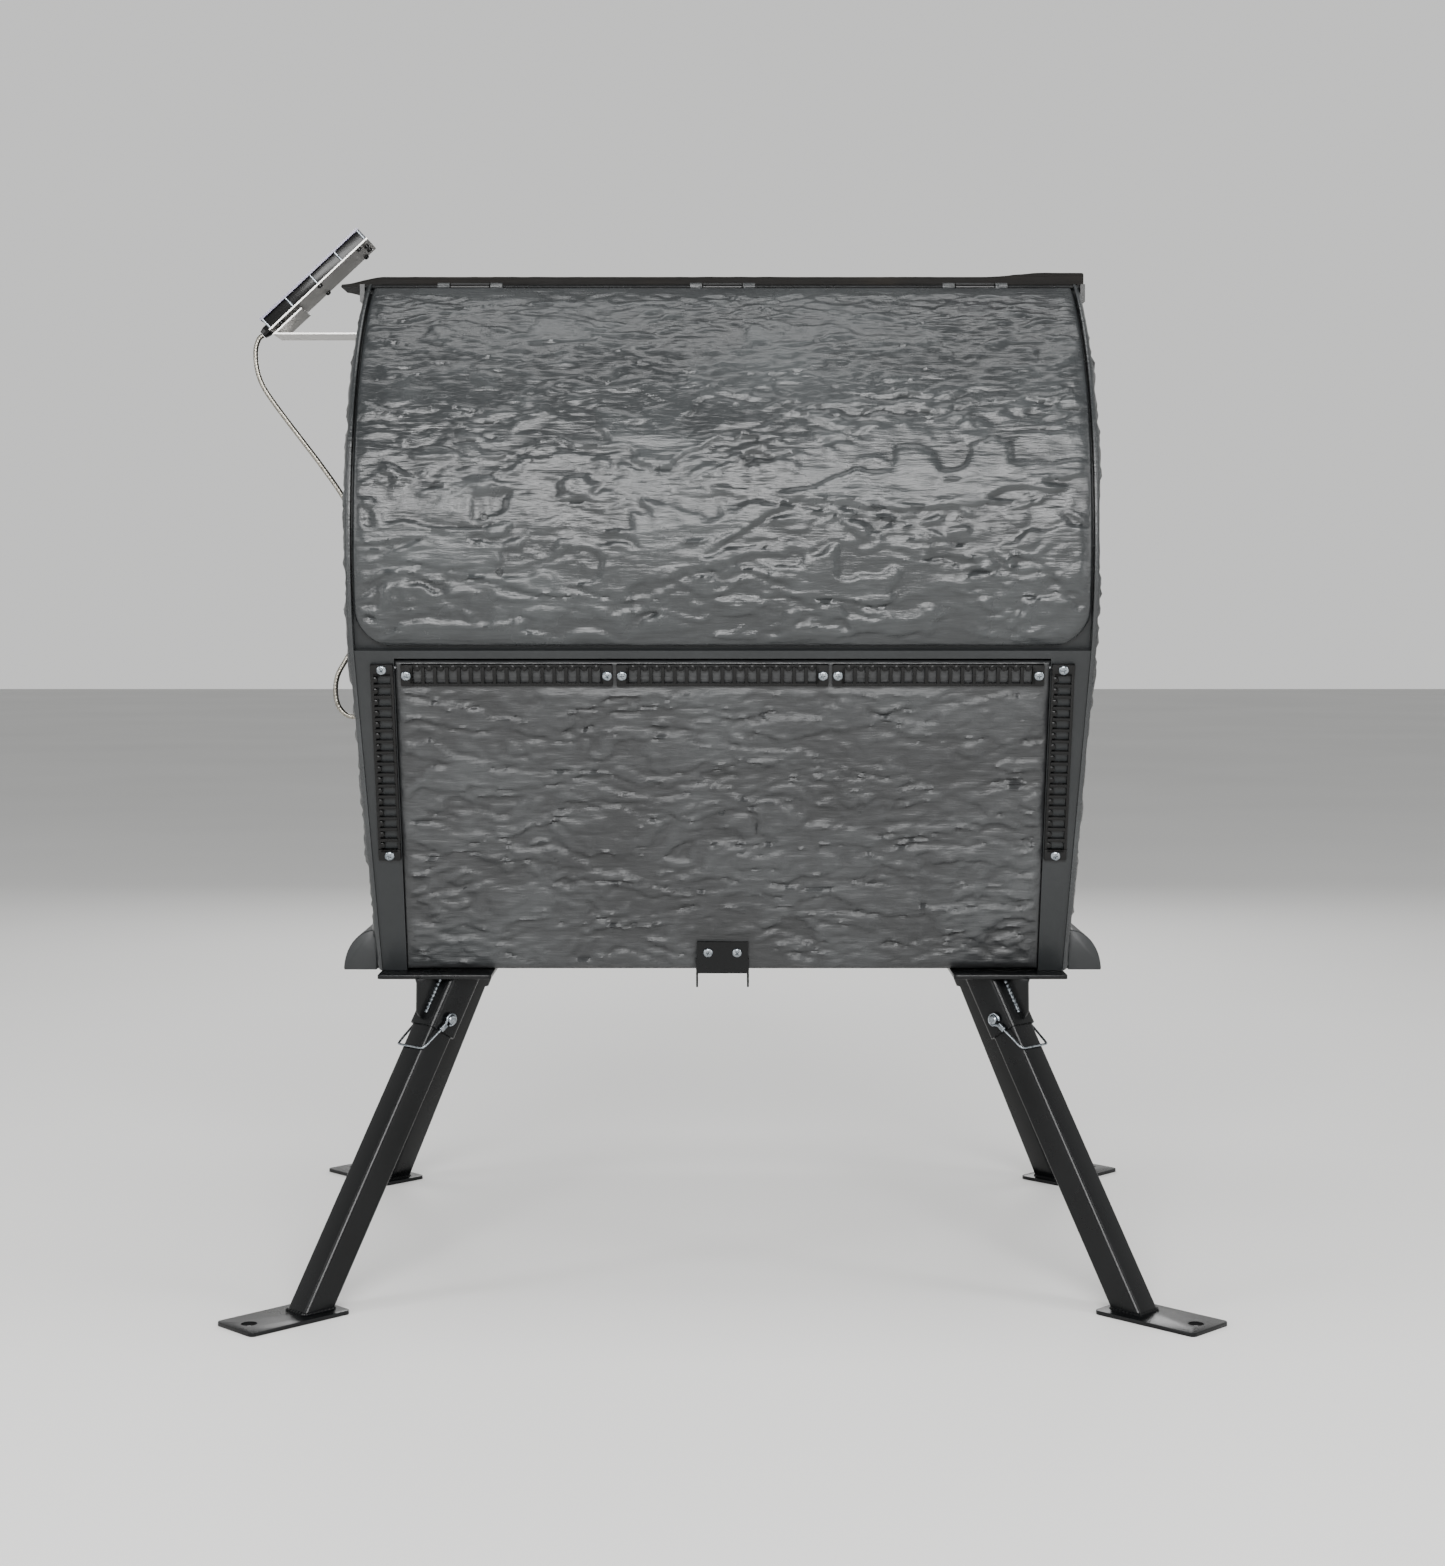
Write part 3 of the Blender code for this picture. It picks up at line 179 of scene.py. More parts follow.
# recycled polyethylene of the drum, tray and hatch: dull dark grey with a greenish cast
drumPlastic = moulded("recycledPolyethylene",
                      [(0.2, "#262a28"), (0.5, "#343836"), (0.8, "#434745")],
                      (0.45, 0.6), (90, 90, 90), 0.0004, reliefShare=False)
# EPDM foam rubber: nearly black and dull
sealRubber = moulded("epdmRubber", [(0.2, "#0c0c0c"), (0.5, "#151515"), (0.8, "#1e1e1e")],
                     (0.7, 0.85), (500, 500, 500), 0.0003, reliefShare=False)


def metal(name, dark, bright, rough, grainScale, bumpDepth):
    material, tree, shader = newMaterial(name, bright, Metallic=1.0)
    place = addNode(tree, "ShaderNodeTexCoord").outputs["Object"]
    stretched = addNode(tree, "ShaderNodeMapping", {"Vector": place, "Scale": grainScale})
    grain = addNode(tree, "ShaderNodeTexNoise",
                    {"Vector": stretched, "Scale": 1.0, "Detail": 4.0, "Roughness": 0.6})
    ramp = addNode(tree, "ShaderNodeValToRGB", [grain], [(0.3, dark), (0.65, bright)])
    tree.links.new(ramp.outputs["Color"], shader.inputs["Base Color"])
    sheen = addNode(tree, "ShaderNodeMapRange",
                    {"Value": grain.outputs[0], "From Min": 0.3, "From Max": 0.7,
                                                 "To Min": rough[0], "To Max": rough[1]})
    tree.links.new(sheen.outputs[0], shader.inputs["Roughness"])
    bump = addNode(tree, "ShaderNodeBump",
                   {"Height": grain.outputs[0], "Strength": 0.4, "Distance": bumpDepth})
    tree.links.new(bump.outputs["Normal"], shader.inputs["Normal"])
    return material


# bright zinc plate: pale blue-white steel with small cloudy spangles
zincSteel = metal("zincPlatedSteel", "#646b71", "#a3a9ae", (0.2, 0.32), (300, 300, 300), 0.00005)
# spiral-wound galvanised steel conduit: warm grey, duller in its grooves
armourSteel = metal("galvanisedConduit", "#4d4a44", "#a29e94", (0.25, 0.38), (500, 500, 500),
                    0.00005)
# plain drawn steel rod: fine lines along X
drawnSteel = metal("drawnSteel", "#7d7f82", "#b4b6b9", (0.25, 0.4), (20, 900, 900), 0.00004)
# bead-blasted aluminium: even, matt, faintly warm
blastedAluminium = metal("beadBlastedAluminium", "#b3b1ae", "#cfcdca", (0.4, 0.5), (800, 800, 800),
                         0.00004)

# acrylic cover, tinted violet and drawn nearly opaque: little of the cells shows through
clearAcrylic, _, _ = newMaterial(
    "clearAcrylic", "#57516f", Roughness=0.2, IOR=1.49, Transmission_Weight=0.15)
# monocrystalline laminate under glass: blue-black cells between thin silver bus bars
solarLaminate, cellTree, cellShader = newMaterial("solarLaminate", "#0b0d18", Roughness=0.12,
                                                  IOR=1.5)
cellPlace = addNode(cellTree, "ShaderNodeTexCoord").outputs["Object"]
cellTurn = addNode(cellTree, "ShaderNodeMapping", {"Vector": cellPlace, "Scale": (1, 1, 0)})
cellBars = addNode(cellTree, "ShaderNodeTexBrick", {
    "Vector": cellTurn, "Color1": linearColour("#0b0e1c"), "Color2": linearColour("#0e1122"),
    "Mortar": linearColour("#30343c"), "Scale": 1.0, "Mortar Size": 0.0004, "Brick Width": 0.0285,
    "Row Height": 0.018}, offset=0.0)
cellTree.links.new(cellBars.outputs["Color"], cellShader.inputs["Base Color"])

finishes = {
    "bark_polyethylene": barkPlastic, "smooth_polyethylene": smoothPlastic,
    "ridge_polyethylene": ridgePlastic,
    "black_plastic": blackPlastic, "black_powder_coat": powderCoat, "zinc_steel": zincSteel,
    "cable_armour": armourSteel, "plain_steel": drawnSteel, "drum_plastic": drumPlastic,
    "seal_rubber": sealRubber, "grey_aluminium": blastedAluminium, "solar_cell": solarLaminate,
    "clear_cover": clearAcrylic}
print("materials made")


# making pieces
def addPiece(name, mesh, slot, body="root", replaces=(), angle=35):
    piece = bpy.data.objects.new(name, mesh)
    bpy.context.scene.collection.objects.link(piece)
    mesh.materials.clear()
    mesh.materials.append(finishes[slot])
    if angle:
        mesh.shade_smooth()
        mesh.set_sharp_from_angle(angle=math.radians(angle))
    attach(piece, body)
    if replaces:
        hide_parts(*replaces)
    return piece


def facedOut(mesh):
    bm = bmesh.new()
    bm.from_mesh(mesh)
    bmesh.ops.recalc_face_normals(bm, faces=bm.faces)
    bm.to_mesh(mesh)
    bm.free()
    return mesh


def meshFrom(vertices, faces, name="mesh"):
    mesh = bpy.data.meshes.new(name)
    mesh.from_pydata([tuple(v) for v in vertices], [], faces)
    return facedOut(mesh)


def roundedBlock(low, high, radius, segments=2):
    bm = bmesh.new()
    size = [b - a for a, b in zip(low, high)]
    middle = [(a + b) / 2 for a, b in zip(low, high)]
    bmesh.ops.create_cube(bm, size=1.0,
                          matrix=Matrix.Translation(middle) @ Matrix.Diagonal((*size, 1)))
    if radius:
        bmesh.ops.bevel(bm, geom=bm.edges[:], offset=radius, segments=segments, profile=0.5,
                        affect="EDGES")
    mesh = bpy.data.meshes.new("block")
    bm.to_mesh(mesh)
    bm.free()
    return mesh


def turnedMesh(profile, sides=24):
    # profile points (radius, height) from the top's middle to the bottom's middle
    vertices, faces, rings = [], [], []
    for radius, height in profile:
        if radius < 1e-7:
            rings.append([len(vertices)])
            vertices.append((0, 0, height))
        else:
            rings.append(list(range(len(vertices), len(vertices) + sides)))
            vertices += [(radius * math.cos(2 * math.pi * i / sides),
                          radius * math.sin(2 * math.pi * i / sides),
                          height) for i in range(sides)]
    for upper, lower in zip(rings, rings[1:]):
        for i in range(sides):
            j = (i + 1) % sides
            if len(upper) == 1:
                faces.append((upper[0], lower[i], lower[j]))
            elif len(lower) == 1:
                faces.append((upper[j], upper[i], lower[0]))
            else:
                faces.append((upper[j], upper[i], lower[i], lower[j]))
    return meshFrom(vertices, faces)


def prism(outline, low, high, place=Matrix()):
    # a flat outline in local X, Y given thickness along local Z
    count = len(outline)
    vertices = [(x, y, low) for x, y in outline] + [(x, y, high) for x, y in outline]
    faces = [tuple(range(count - 1, -1, -1)), tuple(range(count, 2 * count))]
    faces += [(i, (i + 1) % count, (i + 1) % count + count, i + count) for i in range(count)]
    mesh = meshFrom(vertices, faces)
    mesh.transform(place)
    return mesh


def roundedOutline(width, height, radius, steps=5):
    points = []
    for cx, cy, start in ((1, 1, 0), (-1, 1, 90), (-1, -1, 180), (1, -1, 270)):
        for i in range(steps + 1):
            turn = math.radians(start + 90 * i / steps)
            points.append((cx * (width / 2 - radius) + radius * math.cos(turn),
                           cy * (height / 2 - radius) + radius * math.sin(turn)))
    return points


def bevelled(mesh, radius, segments=2, angle=40):
    bm = bmesh.new()
    bm.from_mesh(mesh)
    least = math.radians(angle)
    edges = [e for e in bm.edges if len(e.link_faces) == 2 and e.calc_face_angle(0) > least]
    bmesh.ops.bevel(bm, geom=edges, offset=radius, segments=segments, profile=0.5, affect="EDGES",
                    clamp_overlap=True)
    bm.to_mesh(mesh)
    bm.free()
    return mesh


def gathered(parts):
    # one mesh from pairs of mesh and place
    bm = bmesh.new()
    for mesh, place in parts:
        copy = mesh.copy()
        copy.transform(place)
        bm.from_mesh(copy)
        bpy.data.meshes.remove(copy)
    mesh = bpy.data.meshes.new("gathered")
    bm.to_mesh(mesh)
    bm.free()
    return mesh


def tubeAlong(points, radius, sides=10, radii=None):
    # closed tube on a path, its frame carried along without twist
    points = [Vector(p) for p in points]
    vertices, faces = [], []
    side = None
    for i, point in enumerate(points):
        ahead = (points[min(i + 1, len(points) - 1)] - points[max(i - 1, 0)]).normalized()
        if side is None:
            side = ahead.orthogonal().normalized()
        side = (side - ahead * side.dot(ahead)).normalized()
        other = ahead.cross(side)
        for j in range(sides):
            turn = 2 * math.pi * j / sides
            size = radii(i, turn) if radii else radius
            vertices.append(point + (side * math.cos(turn) + other * math.sin(turn)) * size)
    for i in range(len(points) - 1):
        for j in range(sides):
            k = (j + 1) % sides
            faces.append((i * sides + j, i * sides + k, (i + 1) * sides + k, (i + 1) * sides + j))
    faces.append(tuple(range(sides - 1, -1, -1)))
    last = (len(points) - 1) * sides
    faces.append(tuple(range(last, last + sides)))
    return meshFrom(vertices, faces)


def smoothRoute(points, step):
    # evenly spread points on a smooth curve through the given ones
    points = [Vector(p) for p in points]
    ends = [2 * points[0] - points[1]] + points + [2 * points[-1] - points[-2]]
    fine = []
    for i in range(1, len(ends) - 2):
        a, b, c, d = ends[i - 1:i + 3]
        for part in range(40):
            t = part / 40
            fine.append(0.5 * (2 * b + (c - a) * t + (2 * a - 5 * b + 4 * c - d) * t * t
                               + (3 * b - a - 3 * c + d) * t ** 3))
    fine.append(points[-1])
    lengths = [0.0]
    for first, second in zip(fine, fine[1:]):
        lengths.append(lengths[-1] + (second - first).length)
    count = max(2, round(lengths[-1] / step))
    route, place = [], 0
    for i in range(count + 1):
        want = lengths[-1] * i / count
        while place < len(fine) - 2 and lengths[place + 1] < want:
            place += 1
        share = (want - lengths[place]) / (lengths[place + 1] - lengths[place])
        route.append(fine[place].lerp(fine[place + 1], min(1.0, share)))
    return route, lengths[-1]


# armoured cable
cable = {"radius": 0.00325, "pitch": 0.0042, "groove": 0.00042, "sides": 12}
cablePoints = (
    (-0.5945, -0.109, 1.1955), (-0.5999, -0.109, 1.1901), (-0.6037, -0.109, 1.1765),
    (-0.6028, -0.109, 1.1570),
    (-0.5980, -0.109, 1.1385), (-0.5890, -0.109, 1.1210), (-0.5690, -0.109, 1.0930),
    (-0.5430, -0.110, 1.0590),
    (-0.5170, -0.112, 1.0250), (-0.4900, -0.118, 0.9870), (-0.4690, -0.128, 0.9480),
    (-0.4600, -0.137, 0.9080),
    (-0.4595, -0.140, 0.8720), (-0.4595, -0.141, 0.8360), (-0.4650, -0.144, 0.8040),
    (-0.4800, -0.148, 0.7780),
    (-0.4915, -0.150, 0.7560), (-0.4940, -0.150, 0.7340), (-0.4895, -0.150, 0.7160),
    (-0.4790, -0.150, 0.7055),
    (-0.4665, -0.150, 0.7035),
)
cableRoute, cableLength = smoothRoute(cablePoints, cable["pitch"] / 4)


def cableRadius(i, turn):
    # the strip's edge winds round the tube, one groove each pitch
    phase = (i / 4 - turn / (2 * math.pi)) % 1.0
    return cable["radius"] - cable["groove"] * (1 - math.sin(math.pi * phase)) ** 2


armour = addPiece("armouredConduit", tubeAlong(cableRoute, 0, cable["sides"], cableRadius),
                  "cable_armour",
                  replaces=["armoured_cable"], angle=60)
print("cable made:", round(cableLength, 3), "m")


# geometry trees
def newTree(name, inputs):
    tree = bpy.data.node_groups.new(name, "GeometryNodeTree")
    tree.interface.new_socket(name="Geometry", in_out="INPUT", socket_type="NodeSocketGeometry")
    for label, kind in inputs.items():
        tree.interface.new_socket(name=label, in_out="INPUT", socket_type="NodeSocket" + kind)
    tree.interface.new_socket(name="Geometry", in_out="OUTPUT", socket_type="NodeSocketGeometry")
    return tree, addNode(tree, "NodeGroupInput").outputs


def grown(mesh, tree, values):
    # runs a tree on a mesh and keeps the result as plain mesh
    holder = bpy.data.objects.new("holder", mesh)
    bpy.context.scene.collection.objects.link(holder)
    modifier = holder.modifiers.new("tree", "NODES")
    modifier.node_group = tree
    for item in tree.interface.items_tree:
        if item.in_out == "INPUT" and item.name in values:
            modifier[item.identifier] = values[item.name]
    graph = bpy.context.evaluated_depsgraph_get()
    result = bpy.data.meshes.new_from_object(holder.evaluated_get(graph))
    holder.modifiers.remove(modifier)
    bpy.data.objects.remove(holder, do_unlink=True)
    return result


def buildBarkTree():
    # height of weathered bark: plates that step over each other, ripples between them, a few knots
    tree, given = newTree("barkRelief", {
        "Depth": "Float", "Plate Length": "Float", "Plate Width": "Float", "Ripple Length": "Float",
        "Ripple Width": "Float", "Ripple Depth": "Float", "Steps": "Float", "Seed": "Float",
        "Material": "Material"})
    place = addNode(tree, "GeometryNodeInputNamedAttribute", {"Name": "barkPlace"},
                    data_type="FLOAT_VECTOR")
    outward = addNode(tree, "GeometryNodeInputNamedAttribute", {"Name": "outward"},
                      data_type="FLOAT_VECTOR")
    fade = addNode(tree, "GeometryNodeInputNamedAttribute", {"Name": "fade"}, data_type="FLOAT")
    coarse = addNode(tree, "GeometryNodeInputNamedAttribute", {"Name": "coarse"}, data_type="FLOAT")
    axes = addNode(tree, "ShaderNodeSeparateXYZ", [place])
    seedAt = addNode(tree, "ShaderNodeCombineXYZ", [0.0, 0.0, given["Seed"]])
    at = addNode(tree, "ShaderNodeVectorMath", [place, seedAt], operation="ADD")
    # the grain wanders up and down by a centimetre or two
    bendScale = addNode(tree, "ShaderNodeVectorMath", [at, (6.5, 14.0, 1.0)], operation="MULTIPLY")
    bend = addNode(tree, "ShaderNodeTexNoise",
                   {"Vector": bendScale, "Scale": 1.0, "Detail": 2.0, "Roughness": 0.5})
    bendBy = addNode(tree, "ShaderNodeMath", [bend, 0.5], operation="SUBTRACT")
    bendBy = addNode(tree, "ShaderNodeMath", [bendBy, 0.085], operation="MULTIPLY")
    girth = addNode(tree, "ShaderNodeMath", [axes.outputs["Y"], bendBy], operation="ADD")
    # plates
    plateX = addNode(tree, "ShaderNodeMath", [axes.outputs["X"], given["Plate Length"]],
                     operation="DIVIDE")
    plateY = addNode(tree, "ShaderNodeMath", [girth, given["Plate Width"]], operation="DIVIDE")
    plateAt = addNode(tree, "ShaderNodeCombineXYZ", [plateX, plateY, given["Seed"]])
    plates = addNode(tree, "ShaderNodeTexNoise",
                     {"Vector": plateAt, "Scale": 1.0, "Detail": 3.0, "Roughness": 0.52,
                                                  "Distortion": 0.35})
    stepped = addNode(tree, "ShaderNodeMath", [plates, given["Steps"]], operation="MULTIPLY")
    whole = addNode(tree, "ShaderNodeMath", [stepped], operation="FLOOR")
    part = addNode(tree, "ShaderNodeMath", [stepped], operation="FRACT")
    ledge = addNode(tree, "ShaderNodeMapRange",
                    {"Value": part.outputs[0], "From Min": 0.0, "From Max": 0.26},
                    interpolation_type="SMOOTHSTEP")
    level = addNode(tree, "ShaderNodeMath", [whole, ledge], operation="ADD")
    level = addNode(tree, "ShaderNodeMath", [level, given["Steps"]], operation="DIVIDE")
    level = addNode(tree, "ShaderNodeMath", [level, 0.5], operation="SUBTRACT")
    # ledges stand a little proud at their lips
    lip = addNode(tree, "ShaderNodeMath", [ledge, part], operation="SUBTRACT")
    lip = addNode(tree, "ShaderNodeMath", [lip, 0.16], operation="MULTIPLY")
    level = addNode(tree, "ShaderNodeMath", [level, lip], operation="ADD")
    # ripples
    rippleX = addNode(tree, "ShaderNodeMath", [axes.outputs["X"], given["Ripple Length"]],
                      operation="DIVIDE")
    rippleY = addNode(tree, "ShaderNodeMath", [girth, given["Ripple Width"]], operation="DIVIDE")
    rippleAt = addNode(tree, "ShaderNodeCombineXYZ", [rippleX, rippleY, given["Seed"]])
    ripples = addNode(tree, "ShaderNodeTexNoise", {"Vector": rippleAt, "Scale": 1.0, "Detail": 2.5,
                                                   "Roughness": 0.55, "Distortion": 0.5})
    folds = addNode(tree, "ShaderNodeMath", [ripples, 0.5], operation="SUBTRACT")
    folds = addNode(tree, "ShaderNodeMath", [folds], operation="ABSOLUTE")
    folds = addNode(tree, "ShaderNodeMapRange",
                    {"Value": folds.outputs[0], "From Min": 0.0, "From Max": 0.16,
                                                 "To Min": 0.0, "To Max": 1.0},
                                                 interpolation_type="SMOOTHSTEP")
    # ripples gather in bands and leave the plateaus smooth
    bandAt = addNode(tree, "ShaderNodeVectorMath", [at, (5.0, 13.0, 1.0)], operation="MULTIPLY")
    bands = addNode(tree, "ShaderNodeTexNoise",
                    {"Vector": bandAt, "Scale": 1.0, "Detail": 2.0, "Roughness": 0.5})
    calm = addNode(tree, "ShaderNodeMapRange",
                   {"Value": bands.outputs[0], "From Min": 0.40, "From Max": 0.60,
                                                "To Min": 1.0, "To Max": 0.12},
                                                interpolation_type="SMOOTHSTEP")
    calm = addNode(tree, "ShaderNodeMix", {0: coarse.outputs[0], 2: 0.75, 3: calm.outputs[0]},
                   data_type="FLOAT")
    rippled = addNode(tree, "ShaderNodeMath", [folds, calm.outputs[0]], operation="MULTIPLY")
    rippled = addNode(tree, "ShaderNodeMath", [rippled, given["Ripple Depth"]],
                      operation="MULTIPLY")
    # knots, small rings where branches stood
    knotAt = addNode(tree, "ShaderNodeVectorMath", [at, (7.0, 11.0, 3.1)], operation="MULTIPLY")
    knots = addNode(tree, "ShaderNodeTexVoronoi", {"Vector": knotAt, "Scale": 1.0}, feature="F1")
    ring = addNode(tree, "ShaderNodeMath", [knots.outputs["Distance"], 0.13], operation="SUBTRACT")
    ring = addNode(tree, "ShaderNodeMath", [ring], operation="ABSOLUTE")
    ring = addNode(tree, "ShaderNodeMapRange",
                   {"Value": ring.outputs[0], "From Min": 0.0, "From Max": 0.07,
                                                "To Min": 0.0016, "To Max": 0.0},
                                                interpolation_type="SMOOTHSTEP")
    # the plates count for less where the surface is only rippled
    plateShare = addNode(tree, "ShaderNodeMix", {0: coarse.outputs[0], 2: 0.45, 3: 1.0},
                         data_type="FLOAT")
    height = addNode(tree, "ShaderNodeMath", [level, plateShare.outputs[0]], operation="MULTIPLY")
    height = addNode(tree, "ShaderNodeMath", [height, given["Depth"]], operation="MULTIPLY")
    height = addNode(tree, "ShaderNodeMath", [height, rippled], operation="ADD")
    height = addNode(tree, "ShaderNodeMath", [height, ring], operation="ADD")
    height = addNode(tree, "ShaderNodeMath", [height, fade], operation="MULTIPLY")
    # the height is also kept as relief for the plastic's colour, paler on crests and darker in
    # hollows: painted highlight and painted shade
    tone = addNode(tree, "ShaderNodeMapRange",
                   {"Value": height.outputs[0], "From Min": -0.0015, "From Max": 0.0030})
    stored = addNode(tree, "GeometryNodeStoreNamedAttribute",
                     {"Geometry": given["Geometry"], "Name": "relief", "Value": tone.outputs[0]},
                     data_type="FLOAT", domain="POINT")
    offset = addNode(tree, "ShaderNodeVectorMath",
                     {0: outward.outputs[0], "Scale": height.outputs[0]},
                     operation="SCALE")
    moved = addNode(tree, "GeometryNodeSetPosition",
                    {"Geometry": stored.outputs[0], "Offset": offset.outputs[0]})
    real = addNode(tree, "GeometryNodeRealizeInstances", [moved])
    painted = addNode(tree, "GeometryNodeSetMaterial",
                      {"Geometry": real.outputs[0], "Material": given["Material"]})
    addNode(tree, "NodeGroupOutput", [painted])
    return tree


def buildRowTree():
    # copies of one shape along a straight line
    tree, given = newTree("rowOfShapes", {"Count": "Int", "Step": "Vector", "Start": "Vector",
                                          "Material": "Material"})
    line = addNode(tree, "GeometryNodeMeshLine",
                   {"Count": given["Count"], "Start Location": given["Start"],
                                                  "Offset": given["Step"]})
    copies = addNode(tree, "GeometryNodeInstanceOnPoints", {"Points": line.outputs[0],
                                                            "Instance": given["Geometry"]})
    real = addNode(tree, "GeometryNodeRealizeInstances", [copies])
    painted = addNode(tree, "GeometryNodeSetMaterial",
                      {"Geometry": real.outputs[0], "Material": given["Material"]})
    addNode(tree, "NodeGroupOutput", [painted])
    return tree


def buildFastenerTree():
    # one fastener on each point, turned to face along the point's own direction
    tree, given = newTree("fastenersOnPoints", {"Fastener": "Object", "Material": "Material"})
    facing = addNode(tree, "GeometryNodeInputNamedAttribute", {"Name": "facing"},
                     data_type="FLOAT_VECTOR")
    turn = addNode(tree, "FunctionNodeAlignRotationToVector", {"Vector": facing.outputs[0]},
                   axis="Z")
    spin = addNode(tree, "FunctionNodeRandomValue", {2: 0.0, 3: 1.5, "Seed": 7}, data_type="FLOAT")
    spinTurn = addNode(tree, "ShaderNodeCombineXYZ", [0.0, 0.0, spin.outputs[1]])
    both = addNode(tree, "FunctionNodeRotateRotation", {0: turn.outputs[0], 1: spinTurn.outputs[0]},
                   rotation_space="LOCAL")
    source = addNode(tree, "GeometryNodeObjectInfo", {"Object": given["Fastener"]})
    copies = addNode(tree, "GeometryNodeInstanceOnPoints", {
        "Points": given["Geometry"], "Instance": source.outputs["Geometry"],
        "Rotation": both.outputs[0]})
    real = addNode(tree, "GeometryNodeRealizeInstances", [copies])
    painted = addNode(tree, "GeometryNodeSetMaterial",
                      {"Geometry": real.outputs[0], "Material": given["Material"]})
    addNode(tree, "NodeGroupOutput", [painted])
    return tree


barkTree, rowTree, fastenerTree = buildBarkTree(), buildRowTree(), buildFastenerTree()


def fasteners(shape, spots, slot):
    # spots are pairs of place and direction
    mesh = bpy.data.meshes.new("spots")
    mesh.from_pydata([tuple(place) for place, _ in spots], [], [])
    facing = mesh.attributes.new("facing", "FLOAT_VECTOR", "POINT")
    for item, (_, direction) in zip(facing.data, spots):
        item.vector = direction
    sample = bpy.data.objects.new("sample", shape)
    bpy.context.scene.collection.objects.link(sample)
    result = grown(mesh, fastenerTree, {"Fastener": sample, "Material": finishes[slot]})
    bpy.data.objects.remove(sample, do_unlink=True)
    return result


# bark surfaces
def spread(low, high, step, edges=(0.0012, 0.003, 0.006)):
    # stations from low to high, closer together at both ends
    inner = [low + e for e in edges] + [high - e for e in reversed(edges)]
    count = max(1, round((high - low - 2 * edges[-1]) / step))
    middle = [low + edges[-1] + (high - low - 2 * edges[-1]) * i / count for i in range(1, count)]
    return sorted({low, high, *inner, *middle})


def barked(mesh, outward, places, fades, coarses, values):
    # puts on the points what the bark tree reads, and runs it
    marks = (("outward", "FLOAT_VECTOR", outward), ("barkPlace", "FLOAT_VECTOR", places),
             ("fade", "FLOAT", fades), ("coarse", "FLOAT", coarses))
    for name, kind, data in marks:
        layer = mesh.attributes.new(name, kind, "POINT")
        if kind == "FLOAT":
            layer.data.foreach_set("value", data)
        else:
            layer.data.foreach_set("vector", [v for item in data for v in item])
    result = grown(mesh, barkTree, values)
    for name, _, _ in marks:
        result.attributes.remove(result.attributes[name])
    return result


def barkPanel(columns, rows, outer, inner, fade, coarse, placeOf, values):
    # closed panel: an outer face that takes the relief, an inner face and the edges between them
    vertices, outward, fades, coarses, places = [], [], [], [], []
    width, height = len(columns), len(rows)
    for side in (0, 1):
        for row in rows:
            for column in columns:
                point, direction = outer(column, row) if side == 0 else inner(column, row)
                vertices.append(point)
                outward.append(direction)
                fades.append(fade(column, row) if side == 0 else 0.0)
                coarses.append(coarse(column, row))
                places.append(placeOf(column, row))
    half = width * height
    faces = []
    for j in range(height - 1):
        for i in range(width - 1):
            a = j * width + i
            faces.append((a, a + 1, a + width + 1, a + width))
            b = half + a
            faces.append((b + width, b + width + 1, b + 1, b))
    rim = list(range(width)) + [j * width + width - 1 for j in range(1, height)]
    rim += [(height - 1) * width + i for i in range(width - 2, -1, -1)]
    rim += [j * width for j in range(height - 2, 0, -1)]
    for a, b in zip(rim, rim[1:] + rim[:1]):
        faces.append((b, a, a + half, b + half))
    return barked(meshFrom(vertices, faces), outward, places, fades, coarses, values)


def roundOver(distance, radius):
    # how far a rounded edge falls back, at a distance from it
    if distance >= radius:
        return 0.0
    return radius - math.sqrt(max(0.0, radius ** 2 - (radius - distance) ** 2))


def aroundFront(radius, girth, side=-1):
    # point and direction on the housing's girth, counted up from the tangent line
    # side is -1 at the front and 1 at the rear
    if girth >= 0:
        angle = -lean + girth / bodyRadius
        return ((side * radius * math.cos(angle), axisHeight + radius * math.sin(angle)),
                (side * math.cos(angle), math.sin(angle)))
    drop = -girth
    return ((side * (radius * math.cos(lean) - drop * math.sin(lean)),
             axisHeight - radius * math.sin(lean) - drop * math.cos(lean)),
            (side * math.cos(lean), -math.sin(lean)))


taper = {"reach": 0.0175, "start": 0.800}


def endLean(z):
    # how far an end leans in at a height
    share = (taper["start"] - z) / (taper["start"] - baseHeight)
    return taper["reach"] * max(0.0, min(1.0, share))


# hood
hood = {"half": 0.4424, "low": math.radians(-23), "high": math.radians(60), "wall": 0.006,
        "corner": 0.048,
        "edge": 0.0048, "step": 0.0030, "stepAlong": 0.0042}


def hoodGirth(angle):
    return (angle + lean) * bodyRadius


def hoodHalf(girth):
    # half the hood's width at a girth: its lower corners are rounded
    up = girth - hoodGirth(hood["low"])
    if up >= hood["corner"]:
        return hood["half"]
    across = hood["corner"] ** 2 - (hood["corner"] - up) ** 2
    return hood["half"] - hood["corner"] + math.sqrt(max(0.0, across))


def hoodOuter(column, row):
    share = column / hood["half"]
    x = share * hoodHalf(row)
    side = hood["half"] - abs(column)
    fall = max(roundOver(side, hood["edge"]), roundOver(row - hoodGirth(hood["low"]), hood["edge"]))
    fall = min(fall, hood["edge"] * 0.95)
    (y, z), (ny, nz) = arcPoint(bodyRadius - fall, row)
    return (x, y, z), (0.0, ny, nz)


def arcPoint(radius, girth):
    angle = -lean + girth / bodyRadius
    return (-radius * math.cos(angle),
            axisHeight + radius * math.sin(angle)), (-math.cos(angle), math.sin(angle))


def hoodInner(column, row):
    share = column / hood["half"]
    (y, z), (ny, nz) = arcPoint(bodyRadius - hood["wall"], row)
    return (share * hoodHalf(row), y, z), (0.0, -ny, -nz)


